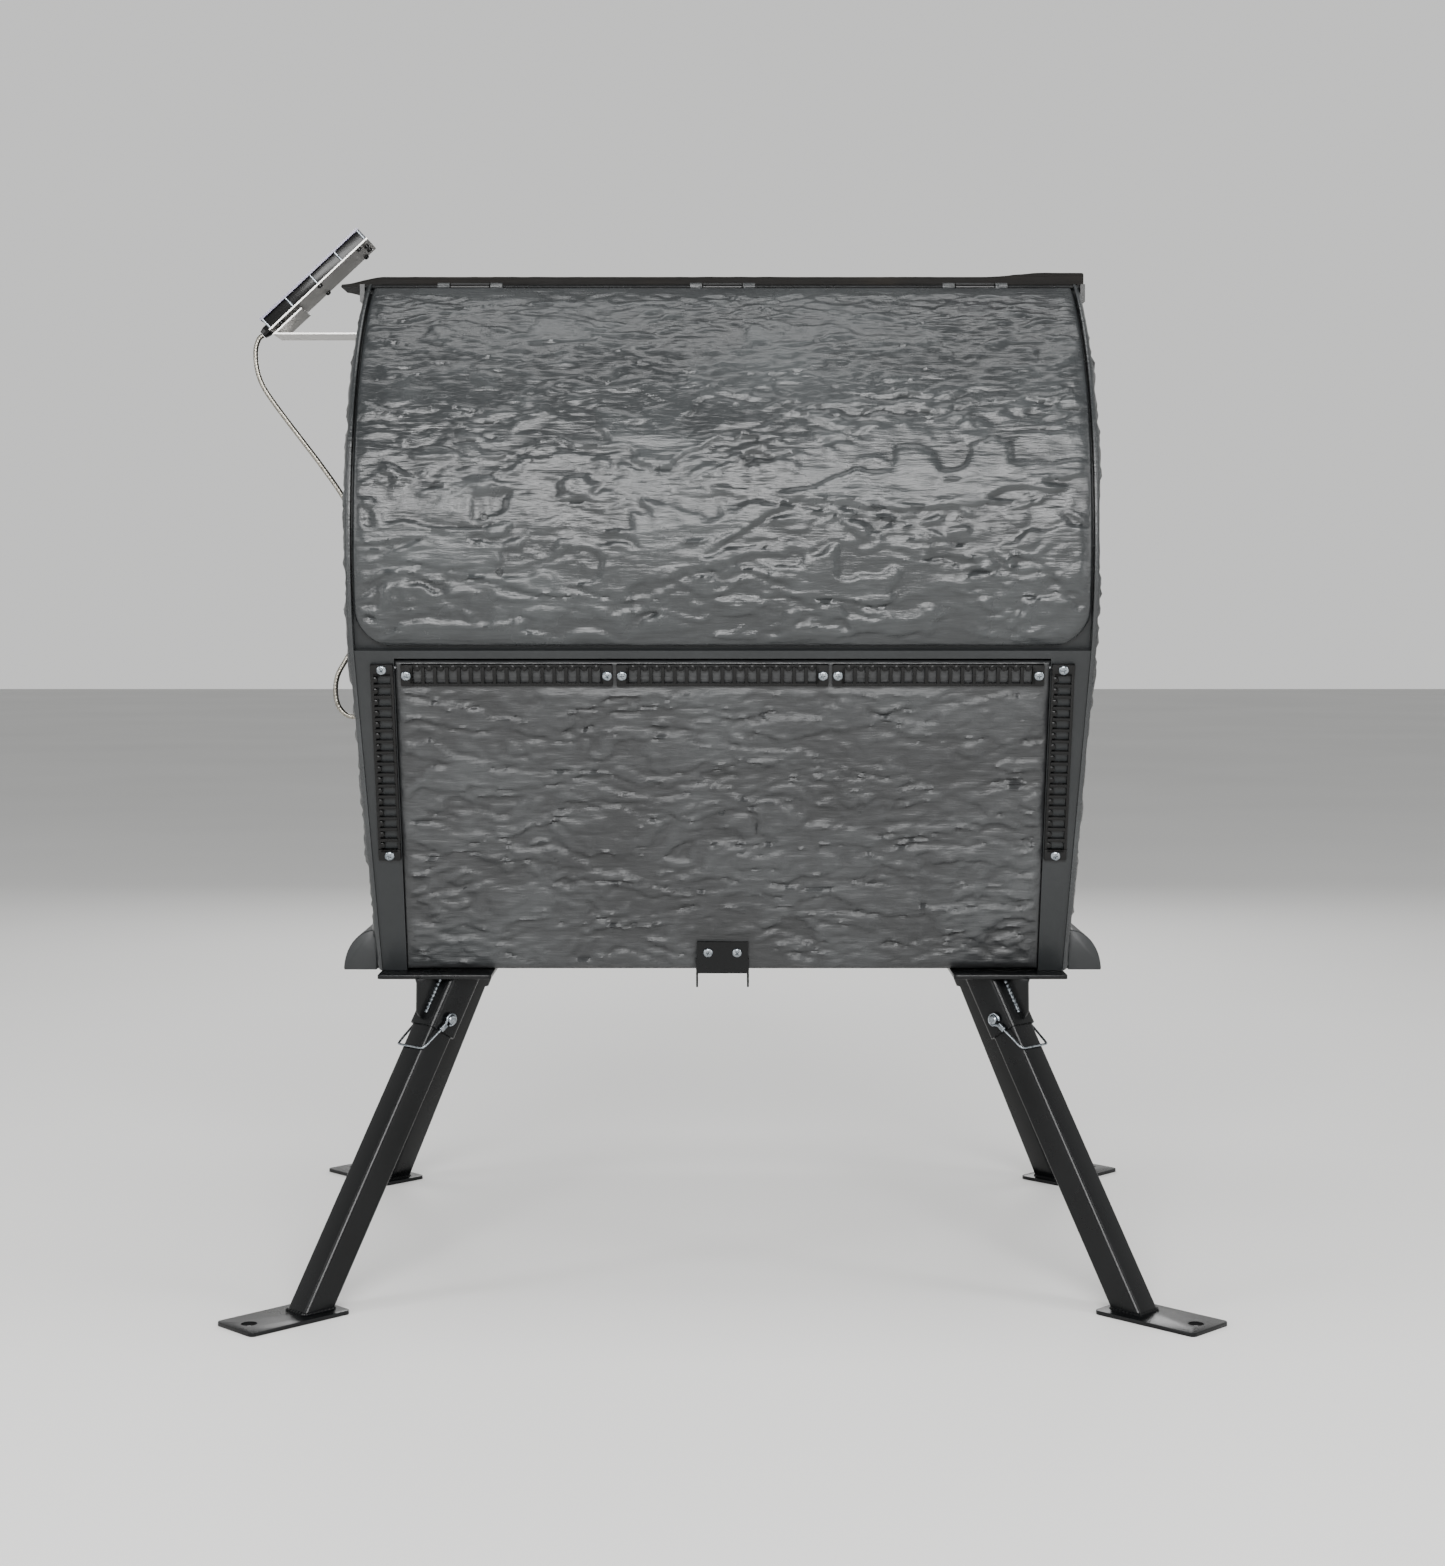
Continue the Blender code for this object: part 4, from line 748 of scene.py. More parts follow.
def hoodFade(column, row):
    side = hood["half"] - abs(column)
    low = row - hoodGirth(hood["low"])
    high = hoodGirth(hood["high"]) - row
    return smooth(0.001, 0.016, side) * smooth(0.001, 0.018, low) * smooth(0.004, 0.030, high)


def hoodCoarse(column, row):
    # fine ripples near the top, broad plates lower down
    angle = -lean + row / bodyRadius
    return 1.0 - smooth(math.radians(16), math.radians(34), angle)


hoodRows = spread(hoodGirth(hood["low"]), hoodGirth(hood["high"]), hood["step"])
hoodColumns = spread(-hood["half"], hood["half"], hood["stepAlong"])
hoodMesh = barkPanel(hoodColumns, hoodRows, hoodOuter, hoodInner, hoodFade, hoodCoarse,
                     lambda c, r: (c / hood["half"] * hoodHalf(r), r, 0.0),
                     {"Depth": 0.0150, "Plate Length": 0.185, "Plate Width": 0.070,
                      "Ripple Length": 0.052,
                      "Ripple Width": 0.0160, "Ripple Depth": 0.0034, "Steps": 6.0, "Seed": 3.0,
                      "Material": barkPlastic})
addPiece("hoodShell", hoodMesh, "bark_polyethylene", "hood", ["hood"], angle=60)

hinge = {"y": -0.16980, "z": 1.24904, "radius": 0.006, "width": 0.0497,
         "places": (-0.32, 0.0, 0.32)}
barrel = turnedMesh([(0, hinge["width"] / 2), (hinge["radius"] - 0.0006, hinge["width"] / 2),
                     (hinge["radius"], hinge["width"] / 2 - 0.0006),
                     (hinge["radius"], -hinge["width"] / 2 + 0.0006),
                     (hinge["radius"] - 0.0006, -hinge["width"] / 2), (0, -hinge["width"] / 2)])
barrel.transform(Matrix.Rotation(math.pi / 2, 4, "Y"))
hoodLeaf = roundedBlock((-hinge["width"] / 2, -0.0125, -0.0022), (hinge["width"] / 2, 0.0, 0.0022),
                        0.0006)
hoodLeaf.transform(Matrix.Rotation(math.radians(30), 4, "X"))
lugs = [(shape, Matrix.Translation((x, hinge["y"], hinge["z"]))) for x in hinge["places"]
        for shape in (barrel, hoodLeaf)]
hoodLugs = addPiece("hoodLugs", gathered(lugs), "bark_polyethylene", "hood")
hoodLugs.data.materials[0] = blackPlastic
print("hood made")

# lower door
door = {"half": 0.396, "top": -0.0505, "wall": 0.012, "edge": 0.004, "step": 0.0032,
        "stepAlong": 0.0042,
        "flat": 0.031}
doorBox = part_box("front_door")
doorLow = -(axisHeight - bodyRadius * math.sin(lean) - doorBox[0][2] - 0.0002) / math.cos(lean)


def doorOuter(column, row):
    fall = max(roundOver(door["half"] - abs(column), door["edge"]),
               roundOver(door["top"] - row, 0.002),
               roundOver(row - doorLow, door["edge"]))
    (y, z), (ny, nz) = aroundFront(bodyRadius - min(fall, 0.0038), row)
    return (column, y, z), (0.0, ny, nz)


def doorInner(column, row):
    (y, z), (ny, nz) = aroundFront(bodyRadius - door["wall"], row)
    z = max(z, doorBox[0][2])
    return (column, y, z), (0.0, -ny, -nz)


def doorFade(column, row):
    # smooth at the edges, under the vent strips and behind the latch bracket
    side = smooth(0.001, 0.012, door["half"] - abs(column))
    top = smooth(door["flat"], door["flat"] + 0.010, door["top"] - row)
    low = smooth(0.001, 0.012, row - doorLow)
    bracket = max(smooth(0.032, 0.042, abs(column)), smooth(0.044, 0.054, row - doorLow))
    return side * top * low * bracket


doorRows = spread(doorLow, door["top"], door["step"])
doorColumns = spread(-door["half"], door["half"], door["stepAlong"])
doorMesh = barkPanel(doorColumns, doorRows, doorOuter, doorInner, doorFade, lambda c, r: 0.35,
                     lambda c, r: (c, r, 0.0),
                     {"Depth": 0.0210, "Plate Length": 0.120, "Plate Width": 0.036,
                      "Ripple Length": 0.046,
                      "Ripple Width": 0.0140, "Ripple Depth": 0.0036, "Steps": 6.0, "Seed": 11.0,
                      "Material": barkPlastic})
doorPanel = addPiece("doorPanel", doorMesh, "bark_polyethylene", "door", ["front_door"], angle=60)
doorPanel.data.materials[0] = dullBarkPlastic
print("door made")

# rear of the housing: a skin on the shell from the ridge down to the base
rear = {"half": 0.4440, "deckStart": 0.094, "under": 0.0002, "lift": 0.0009, "step": 0.0052,
        "stepAlong": 0.0056}
rearTop = math.asin((deckHeight - axisHeight) / bodyRadius)
rearCorner = bodyRadius * math.cos(rearTop)
deckRun = rearCorner - rear["deckStart"]
arcRun = bodyRadius * (rearTop + lean)
wallRun = (axisHeight - bodyRadius * math.sin(lean) - baseHeight - 0.004) / math.cos(lean)


def rearPoint(run, out):
    if run < deckRun:
        point, direction = (rear["deckStart"] + run, deckHeight), (0.0, 1.0)
    elif run < deckRun + arcRun:
        angle = rearTop - (run - deckRun) / bodyRadius
        point = (bodyRadius * math.cos(angle), axisHeight + bodyRadius * math.sin(angle))
        direction = (math.cos(angle), math.sin(angle))
    else:
        point, direction = aroundFront(bodyRadius, -(run - deckRun - arcRun), 1)
    # the direction turns gradually over the crease at the deck's edge
    near = 1 - smooth(0.0, 0.02, abs(run - deckRun))
    middle = Vector((math.cos((rearTop + math.pi / 2) / 2), math.sin((rearTop + math.pi / 2) / 2)))
    turned = (Vector(direction) * (1 - near) + middle * near).normalized()
    return (point[0] + turned[0] * out, point[1] + turned[1] * out), (turned[0], turned[1])


def rearOuter(column, row):
    (y, z), (ny, nz) = rearPoint(row, rear["lift"] + 0.0016 * rearFade(column, row))
    return (column * (1 - endLean(z) / rear["half"]), y, z), (0.0, ny, nz)


def rearInner(column, row):
    (y, z), (ny, nz) = rearPoint(row, rear["under"])
    return (column * (1 - endLean(z) / rear["half"]), y, z), (0.0, -ny, -nz)


def rearFade(column, row):
    return smooth(0.001, 0.014, rear["half"] - abs(column)) * smooth(0.002, 0.016, row) * smooth(
        0.002, 0.016, deckRun + arcRun + wallRun - row)


rearRows = spread(0.0, deckRun + arcRun + wallRun, rear["step"])
rearColumns = spread(-rear["half"], rear["half"], rear["stepAlong"])
rearMesh = barkPanel(rearColumns, rearRows, rearOuter, rearInner, rearFade, lambda c, r: 0.8,
                     lambda c, r: (c, r, 0.0),
                     {"Depth": 0.0105, "Plate Length": 0.150, "Plate Width": 0.054,
                      "Ripple Length": 0.055,
                      "Ripple Width": 0.0160, "Ripple Depth": 0.0026, "Steps": 6.0, "Seed": 23.0,
                      "Material": barkPlastic})
addPiece("shellBark", rearMesh, "bark_polyethylene", angle=60)
print("rear made")

# end caps: the log's two ends
cap = {"rim": 0.362, "wall": 0.008, "half": 0.4525, "dome": 0.0065, "rings": 84, "sides": 420,
       "edge": 0.004,
       "coarse": 0.7}


def capOutline():
    # the end cap's outline in y and z, evenly stepped
    radius = cap["rim"]
    top = math.asin((deckHeight + 0.002 - axisHeight) / radius)
    lowGirth = -(axisHeight - radius * math.sin(lean) - baseHeight) / math.cos(lean)
    (lowY, lowZ), _ = aroundFront(radius, lowGirth)
    corners = [(lowY, lowZ)]
    corners += [(-radius * math.cos(a), axisHeight + radius * math.sin(a))
                for a in [-lean + (top + lean) * i / 60 for i in range(61)]]
    corners += [(-y, z) for y, z in reversed(corners)]
    path = [Vector(p) for p in corners] + [Vector(corners[0])]
    lengths = [0.0]
    for a, b in zip(path, path[1:]):
        lengths.append(lengths[-1] + (b - a).length)
    points, place = [], 0
    for i in range(cap["sides"]):
        want = lengths[-1] * i / cap["sides"]
        while lengths[place + 1] < want:
            place += 1
        points.append(path[place].lerp(path[place + 1], (want - lengths[place]) /
                                       (lengths[place + 1] - lengths[place])))
    return points


outlinePoints = capOutline()
capMiddle = Vector((0.0, 0.82))


def capMesh(side, seed):
    # rings from the middle out to the rim, then the wall back to the flat inner face
    sides, rings = cap["sides"], cap["rings"]
    vertices, outward, fades, places, faces = [], [], [], [], []

    def put(y, z, back, fade):
        x = cap["half"] - endLean(z) - back
        vertices.append((side * x, y, z))
        outward.append((side * 1.0, 0.0, 0.0))
        fades.append(fade)
        places.append((y, z, 0.0))

    put(capMiddle.x, capMiddle.y, 0.0, 1.0)
    reach = [(1 - (1 - i / rings) ** 1.12) for i in range(1, rings + 1)]
    for share in reach:
        for point in outlinePoints:
            spot = capMiddle.lerp(point, share)
            inward = (point - capMiddle).length * (1 - share)
            put(spot.x, spot.y,
                roundOver(inward, cap["edge"]) * 0.9 + cap["dome"] * share ** 6 * 0.35,
                smooth(0.0, 0.012, inward))
    for back in (cap["wall"] * 0.75, cap["wall"]):
        for point in outlinePoints:
            put(point.x, point.y, back, 0.0)
    for i in range(sides):
        faces.append((0, 1 + i, 1 + (i + 1) % sides))
    for ring in range(rings + 1):
        for i in range(sides):
            a, b = 1 + ring * sides + i, 1 + ring * sides + (i + 1) % sides
            faces.append((a, a + sides, b + sides, b))
    last = 1 + (rings + 1) * sides
    faces.append(tuple(range(last, last + sides)))
    coarses = [cap["coarse"]] * len(vertices)
    return barked(meshFrom(vertices, faces), outward, places, fades, coarses, {
        "Depth": 0.0130, "Plate Length": 0.150, "Plate Width": 0.060, "Ripple Length": 0.060,
        "Ripple Width": 0.0165, "Ripple Depth": 0.0028, "Steps": 6.0, "Seed": seed,
        "Material": barkPlastic})


skirt = {"reach": 0.0389, "height": 0.0505, "halfDepth": 0.2000}


def skirtMesh(side):
    # smooth flare along the foot of each end
    root = cap["half"] - endLean(baseHeight + skirt["height"])
    outline = [(root - 0.003, baseHeight + skirt["height"])]
    for i in range(1, 17):
        turn = math.pi / 2 * i / 16
        outline.append((root + skirt["reach"] * math.sin(turn),
                        baseHeight + max(0.0004, skirt["height"] * math.cos(turn))))
    outline.append((root - 0.003, baseHeight + 0.0004))
    place = Matrix(((side, 0, 0, 0), (0, 0, 1, 0), (0, 1, 0, 0), (0, 0, 0, 1)))
    mesh = facedOut(prism(outline, -skirt["halfDepth"], skirt["halfDepth"], place))
    return bevelled(mesh, 0.0015, 2, 60)


for side, name, seed in ((-1, "left", 31.0), (1, "right", 47.0)):
    addPiece("logEnd" + name.capitalize(), capMesh(side, seed), "bark_polyethylene",
             replaces=["end_cap_" + name], angle=60)
    addPiece("endSkirt" + name.capitalize(), skirtMesh(side), "smooth_polyethylene", angle=50)
print("ends made")

# ridge cover: a long board-like cap, its left tip drooping, its right end thicker
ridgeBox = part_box("ridge_cover")
ridge = {"step": 0.006, "stepAcross": 0.004, "thick": 0.0030, "more": 0.0073, "droop": 0.0030,
         "tipRun": 0.055, "tipShare": 0.22, "narrowRun": 0.050, "edge": 0.003, "endEdge": 0.002,
         "rightRise": 0.0052, "riseFrom": 0.330, "riseTo": 0.415}


def ridgeHeights(x):
    left = smooth(0.0, ridge["tipRun"], x - ridgeBox[0][0])
    droop = -ridge["droop"] * (1 - left)
    thick = ridge["thick"] + ridge["more"] * left
    if x > ridge["riseFrom"]:
        thick += ridge["rightRise"] * smooth(ridge["riseFrom"], ridge["riseTo"], x)
    return droop, thick


def ridgeDepth(column, row):
    # in plan the left tip narrows towards the front edge
    widening = smooth(0.0, ridge["narrowRun"], column - ridgeBox[0][0])
    share = ridge["tipShare"] + (1 - ridge["tipShare"]) * widening
    return ridgeBox[0][1] + (row - ridgeBox[0][1]) * share


def ridgeOuter(column, row):
    droop, thick = ridgeHeights(column)
    inset = min(row - ridgeBox[0][1], ridgeBox[1][1] - row)
    fall = roundOver(inset, ridge["edge"])
    fromEnd = min(column - ridgeBox[0][0], ridgeBox[1][0] - column)
    fall = max(fall, roundOver(fromEnd, ridge["endEdge"]))
    height = ridgeBox[0][2] + droop + thick - min(fall, thick * 0.7)
    return (column, ridgeDepth(column, row), height), (0.0, 0.0, 1.0)


def ridgeInner(column, row):
    droop, _ = ridgeHeights(column)
    return (column, ridgeDepth(column, row), ridgeBox[0][2] + droop), (0.0, 0.0, -1.0)


ridgeRows = spread(ridgeBox[0][1], ridgeBox[1][1], ridge["stepAcross"], (0.0008, 0.002, 0.004))
ridgeColumns = spread(ridgeBox[0][0], ridgeBox[1][0], ridge["step"], (0.0008, 0.002, 0.004))
ridgeMesh = barkPanel(ridgeColumns, ridgeRows, ridgeOuter, ridgeInner,
                      lambda c,
                      r: 0.35 * smooth(0.0, 0.006,
                                       min(r - ridgeBox[0][1], ridgeBox[1][1] - r)) + 0.05,
                      lambda c, r: 0.0, lambda c, r: (c, r, 0.0),
                      {"Depth": 0.0050, "Plate Length": 0.420, "Plate Width": 0.030,
                       "Ripple Length": 0.240,
                       "Ripple Width": 0.0060, "Ripple Depth": 0.0022, "Steps": 5.0, "Seed": 5.0,
                       "Material": ridgePlastic})
addPiece("ridgeCover", ridgeMesh, "ridge_polyethylene", replaces=["ridge_cover"], angle=60)
print("ridge made")

# vent strips
vent = {"length": 0.2555, "width": 0.0275, "thick": 0.006, "slots": 16, "pitch": 0.0144,
        "slotWide": 0.010,
        "slotTall": 0.020, "round": 0.0009, "lip": 0.0022, "seat": 0.3603, "topDrop": 0.06575,
        "sideDrop": 0.17975, "screwIn": 0.0065}
wallPlace = Matrix(((1, 0, 0, 0), (0, -math.sin(lean), -math.cos(lean), 0),
                    (0, math.cos(lean), -math.sin(lean), axisHeight), (0, 0, 0, 1)))


def ventMesh():
    # rails and end blocks, with a row of bars and a row of rounded lips over the slots' tops
    long, wide, thick = vent["length"] / 2, vent["width"] / 2, vent["thick"]
    rail = wide - vent["slotTall"] / 2
    barWide = vent["pitch"] - vent["slotWide"]
    run = vent["pitch"] * vent["slots"] / 2
    parts = [(roundedBlock((-long, side - rail / 2, 0), (long, side + rail / 2, thick * 0.8),
                           vent["round"]),
              Matrix()) for side in (wide - rail / 2, -wide + rail / 2)]
    for side in (-1, 1):
        low, high = sorted((side * (run - barWide / 2), side * long))
        parts.append((roundedBlock((low, -wide, 0), (high, wide, thick), vent["round"]), Matrix()))
    bar = roundedBlock((-barWide / 2, -vent["slotTall"] / 2 - 0.001, 0.0),
                       (barWide / 2, vent["slotTall"] / 2 + 0.001, thick), vent["round"])
    bars = grown(bar, rowTree,
                 {"Count": vent["slots"] + 1, "Step": (vent["pitch"], 0, 0), "Start": (-run, 0, 0),
                                "Material": blackPlastic})
    lip = turnedMesh([(0, 1.0), (0.5, 0.87), (0.87, 0.5), (1.0, 0.0), (0.9, -0.5), (0, -0.5)], 14)
    lip.transform(Matrix.Translation((0, vent["slotTall"] / 2 - 0.001, thick * 0.62))
                  @ Matrix.Diagonal((0.0040, 0.0042, vent["lip"], 1)))
    lips = grown(lip, rowTree, {"Count": vent["slots"], "Step": (vent["pitch"], 0, 0),
                                "Start": (-run + vent["pitch"] / 2, 0, 0),
                                "Material": blackPlastic})
    return gathered(parts + [(bars, Matrix()), (lips, Matrix())])


ventSource = ventMesh()
screwSpots = {"door": [], "root": []}
outFace = (Vector(wallPlace.col[2][:3])).normalized()
for name, drop, upright, body in (
        ("top_left", vent["topDrop"], False, "door"),
        ("top_center", vent["topDrop"], False, "door"),
        ("top_right", vent["topDrop"], False, "door"),
        ("side_left", vent["sideDrop"], True, "root"),
        ("side_right", vent["sideDrop"], True, "root")):
    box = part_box("vent_" + name)
    x = (box[0][0] + box[1][0]) / 2
    place = wallPlace @ Matrix.Translation((x, -drop, vent["seat"]))
    if upright:
        place = place @ Matrix.Rotation(math.pi / 2, 4, "Z")
    mesh = ventSource.copy()
    mesh.transform(place)
    addPiece("vent" + name.title().replace("_", ""), mesh, "black_plastic", body, ["vent_" + name])
    for end in (-1, 1):
        along = end * (vent["length"] / 2 - vent["screwIn"])
        screwSpots[body].append((place @ Vector((along, 0, vent["thick"])), outFace))
print("vents made")

# pan-head screws
screw = {"radius": 0.0062, "height": 0.0032, "sides": 32, "latchSeat": 0.3633}


def screwMesh():
    # domed head with a cross recess
    sides = screw["sides"]
    quarters = [abs(((i / sides * 4 + 0.5) % 1.0) - 0.5) for i in range(sides)]
    cross = [0.46 if quarter < 0.14 else 0.17 for quarter in quarters]
    profile = [(None, 0.55, 0.30), (None, 1.0, 0.94), (0.52, None, 0.93), (0.78, None, 0.78),
               (0.94, None, 0.52),
               (1.0, None, 0.22), (1.0, None, 0.0)]
    vertices, faces = [(0, 0, screw["height"] * 0.28)], []
    for size, lobe, level in profile:
        for i in range(sides):
            turn = 2 * math.pi * i / sides
            radius = (cross[i] * lobe if lobe else size) * screw["radius"]
            vertices.append((radius * math.cos(turn), radius * math.sin(turn),
                             screw["height"] * level))
    for i in range(sides):
        faces.append((0, 1 + i, 1 + (i + 1) % sides))
    for ring in range(len(profile) - 1):
        for i in range(sides):
            a, b = 1 + ring * sides + i, 1 + ring * sides + (i + 1) % sides
            faces.append((a, a + sides, b + sides, b))
    last = 1 + (len(profile) - 1) * sides
    faces.append(tuple(range(last, last + sides)))
    return meshFrom(vertices, faces)


panHead = screwMesh()
latchSpots = []
for name in ("left", "right"):
    low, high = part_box("latch_screw_" + name)
    local = wallPlace.inverted() @ ((low + high) / 2)
    latchSpots.append((wallPlace @ Vector((local.x, local.y, screw["latchSeat"])), outFace))
addPiece("doorScrews", fasteners(panHead, screwSpots["door"], "zinc_steel"), "zinc_steel", "door")
addPiece("latchScrews", fasteners(panHead, latchSpots, "zinc_steel"), "zinc_steel", "door",
         ["latch_screw_left", "latch_screw_right"])
addPiece("pillarScrews", fasteners(panHead, screwSpots["root"], "zinc_steel"), "zinc_steel")
print("screws made")

# moulding plugs: small round stops left in the bark
plug = turnedMesh([(0, 0.0003), (0.0022, 0.0004), (0.0030, 0.0016), (0.0042, 0.0017),
                   (0.0047, 0.0008),
                   (0.0047, -0.0040), (0, -0.0040)], 20)
plugPlaces = {"hood": ((-0.2844, 0.9496), (-0.2664, 0.8839), (0.2832, 0.9472)),
              "door": ((-0.3160, 0.7040), (-0.3182, 0.4913), (-0.0012, 0.5909)), "stand": 0.0008}
hoodPlugs, doorPlugs = [], []
for x, z in plugPlaces["hood"]:
    angle = math.asin((z - axisHeight) / bodyRadius)
    facing = Vector((0, -math.cos(angle), math.sin(angle)))
    hoodPlugs.append((Vector((x, 0, axisHeight)) + facing * (bodyRadius + plugPlaces["stand"]),
                      facing))
for x, z in plugPlaces["door"]:
    drop = (axisHeight - bodyRadius * math.sin(lean) - z) / math.cos(lean)
    doorPlugs.append((wallPlace @ Vector((x, -drop, bodyRadius + plugPlaces["stand"])), outFace))
addPiece("hoodPlugs", fasteners(plug, hoodPlugs, "bark_polyethylene"), "bark_polyethylene", "hood")
addPiece("doorPlugs", fasteners(plug, doorPlugs, "bark_polyethylene"), "bark_polyethylene", "door")
print("plugs made")

# legs
leg = {"tube": 0.0381, "corner": 0.0050, "weldIn": 0.0005, "plateX": 0.3575, "plateY": 0.1745,
       "footX": 0.4930,
       "footY": 0.3640,
       "plateLow": 0.3817, "lean": math.radians(30.5), "socketOut": 0.02225, "socketLength": 0.076,
       "plate": 0.141, "plateThick": 0.005, "footLong": 0.142, "footWide": 0.073,
       "footShift": 0.0353,
       "holeInset": 0.022, "hole": 0.0095}
corners = (("front_left", -1, -1, 225, 1), ("front_right", 1, -1, 315, -1),
           ("rear_left", -1, 1, 135, -1), ("rear_right", 1, 1, 45, 1))
axisLength = leg["plateLow"] / math.cos(leg["lean"])
tilt = Matrix.Rotation(-leg["lean"], 4, "Y")


def slantedTube(outline, lowPlane, highPlane):
    # a tube along the leaning axis, cut by two level planes
    bottom, top = [], []
    for x, y in outline:
        base, ahead = tilt @ Vector((x, y, 0)), tilt @ Vector((0, 0, 1))
        bottom.append(base + ahead * ((lowPlane - base.z) / ahead.z))
        top.append(base + ahead * ((highPlane - base.z) / ahead.z))
    count = len(outline)
    faces = [tuple(range(count - 1, -1, -1)), tuple(range(count, 2 * count))]
    faces += [(i, (i + 1) % count, (i + 1) % count + count, i + count) for i in range(count)]
    return meshFrom(bottom + top, faces)


def weldBead(points, radius, seed=0):
    # a lumpy fillet along a joint
    route, _ = smoothRoute(points, 0.0016)
    return tubeAlong(route, radius, 8, lambda i, turn: radius * (1 + 0.16 * math.sin(i * 1.9 + seed)
                                                                 + 0.07 * math.sin(i * 4.3 + turn)))


def footPlate():
    # steel plate with rounded corners and one round hole
    outline = roundedOutline(leg["footLong"], leg["footWide"], 0.007)
    mesh = prism(outline, 0.0, leg["plateThick"], Matrix.Translation((leg["footShift"], 0, 0)))
    solid = bpy.data.objects.new("foot", bevelled(mesh, 0.0005, 2, 60))
    drill = turnedMesh([(0, 0.02), (leg["hole"], 0.02), (leg["hole"], -0.02), (0, -0.02)], 40)
    drill.transform(Matrix.Translation((leg["footShift"] + leg["footLong"] / 2 - leg["holeInset"],
                                        0, 0)))
    cutter = bpy.data.objects.new("drill", drill)
    for item in (solid, cutter):
        bpy.context.scene.collection.objects.link(item)
    cut = solid.modifiers.new("hole", "BOOLEAN")
    cut.operation, cut.solver, cut.object = "DIFFERENCE", "EXACT", cutter
    graph = bpy.context.evaluated_depsgraph_get()
    result = bpy.data.meshes.new_from_object(solid.evaluated_get(graph))
    for item in (solid, cutter):
        bpy.data.objects.remove(item, do_unlink=True)
    return result


footMesh = footPlate()
tubeOutline = roundedOutline(leg["tube"], leg["tube"], leg["corner"], 6)
legTube = slantedTube(tubeOutline, 0.003, leg["plateLow"] - 0.004)
footSquare = [tilt @ Vector((x, y, 0)) for x,
              y in roundedOutline(leg["tube"], leg["tube"], leg["corner"], 3)]
ahead = tilt @ Vector((0, 0, 1))
footRing = [p + ahead * ((0.0055 - p.z) / ahead.z) for p in footSquare]
legMesh = gathered([(legTube, Matrix()), (footMesh, Matrix()),
                    (weldBead([footRing[i] for i in range(len(footRing))] + [footRing[0]], 0.0022),
                     Matrix())])

socketOutline = roundedOutline(2 * leg["socketOut"], 2 * leg["socketOut"], 0.0065, 6)
room = 2 * 0.01945


def socketMesh():
    # thick square sleeve, open below, cut level where it meets its plate
    low = axisLength - leg["socketLength"]
    innerOutline = roundedOutline(room, room, 0.0052, 6)
    ahead = tilt @ Vector((0, 0, 1))
    rings = []
    for outline, ends in ((socketOutline, ("low", "high")), (innerOutline, ("high", "low"))):
        for end in ends:
            ring = []
            for x, y in outline:
                base = tilt @ Vector((x, y, low))
                rise = (leg["plateLow"] + leg["weldIn"] - base.z) / ahead.z
                ring.append(base if end == "low" else base + ahead * rise)
            rings.append(ring)
    count = len(socketOutline)
    faces = []
    for a in range(4):
        b = (a + 1) % 4
        for i in range(count):
            j = (i + 1) % count
            faces.append((a * count + i, a * count + j, b * count + j, b * count + i))
    return meshFrom([v for ring in rings for v in ring], faces)


socketSleeve = socketMesh()
gussetRoot = -leg["plateLow"] * math.tan(leg["lean"])
socketLow = axisLength - leg["socketLength"] + 0.012
gussetDown = (-socketLow * math.sin(leg["lean"]), socketLow * math.cos(leg["lean"]))
sleeveOut = leg["socketOut"]
gussetWeb = [(gussetRoot + sleeveOut * 0.6, leg["plateLow"] + 0.001),
             (gussetDown[0] + sleeveOut * 0.7, gussetDown[1]),
             (gussetDown[0] + sleeveOut + 0.004, gussetDown[1] + 0.009),
             (gussetDown[0] + sleeveOut + 0.008, gussetDown[1] + 0.016),
             (gussetRoot + sleeveOut + 0.040, leg["plateLow"] - 0.004),
             (gussetRoot + sleeveOut + 0.042, leg["plateLow"] + 0.001)]
profileXZ = Matrix(((1, 0, 0, 0), (0, 0, -1, 0), (0, 1, 0, 0), (0, 0, 0, 1)))
gussetMesh = bevelled(prism(gussetWeb, -0.002, 0.002, profileXZ), 0.0006)
gussetBeads = []
for side in (-1, 1):
    line = []
    for share in (0.0, 0.25, 0.5, 0.75, 1.0):
        along = (1 - share) * (leg["plateLow"] - 0.003) + share * (gussetDown[1] + 0.014)
        base = tilt @ Vector((sleeveOut, 0, 0))
        point = base + (tilt @ Vector((0, 0,
                                       1))) * ((along - base.z) / (tilt @ Vector((0, 0, 1))).z)
        line.append((point.x + 0.0006, side * 0.0028, point.z))
    gussetBeads.append((weldBead(line, 0.0023, side), Matrix()))

pin = {"radius": 0.004, "headRadius": 0.0056, "head": 0.008, "tip": 0.014, "drop": 0.058}
pinUp = axisLength - pin["drop"]
crossTurn = Matrix.Rotation(math.pi / 2, 4, "X")
headSeat = leg["socketOut"] + 0.0003
pinHalf = leg["socketOut"] + pin["tip"]
pinMesh = turnedMesh([(0, headSeat + pin["head"]),
                      (pin["headRadius"] * 0.8, headSeat + pin["head"]),
                      (pin["headRadius"], headSeat + pin["head"] - 0.0009),
                      (pin["headRadius"], headSeat + 0.0005),
                      (pin["headRadius"] * 0.93, headSeat), (pin["radius"], headSeat),
                      (pin["radius"], -pinHalf + 0.002),
                      (pin["radius"] - 0.0012, -pinHalf), (0, -pinHalf)], 28)
bail = {"wire": 0.0015, "tilt": math.radians(66), "stand": 0.001, "side": 0.0025, "eye": 0.0022}
eyeHeight = leg["socketOut"] + 0.0003 + pin["head"] / 2
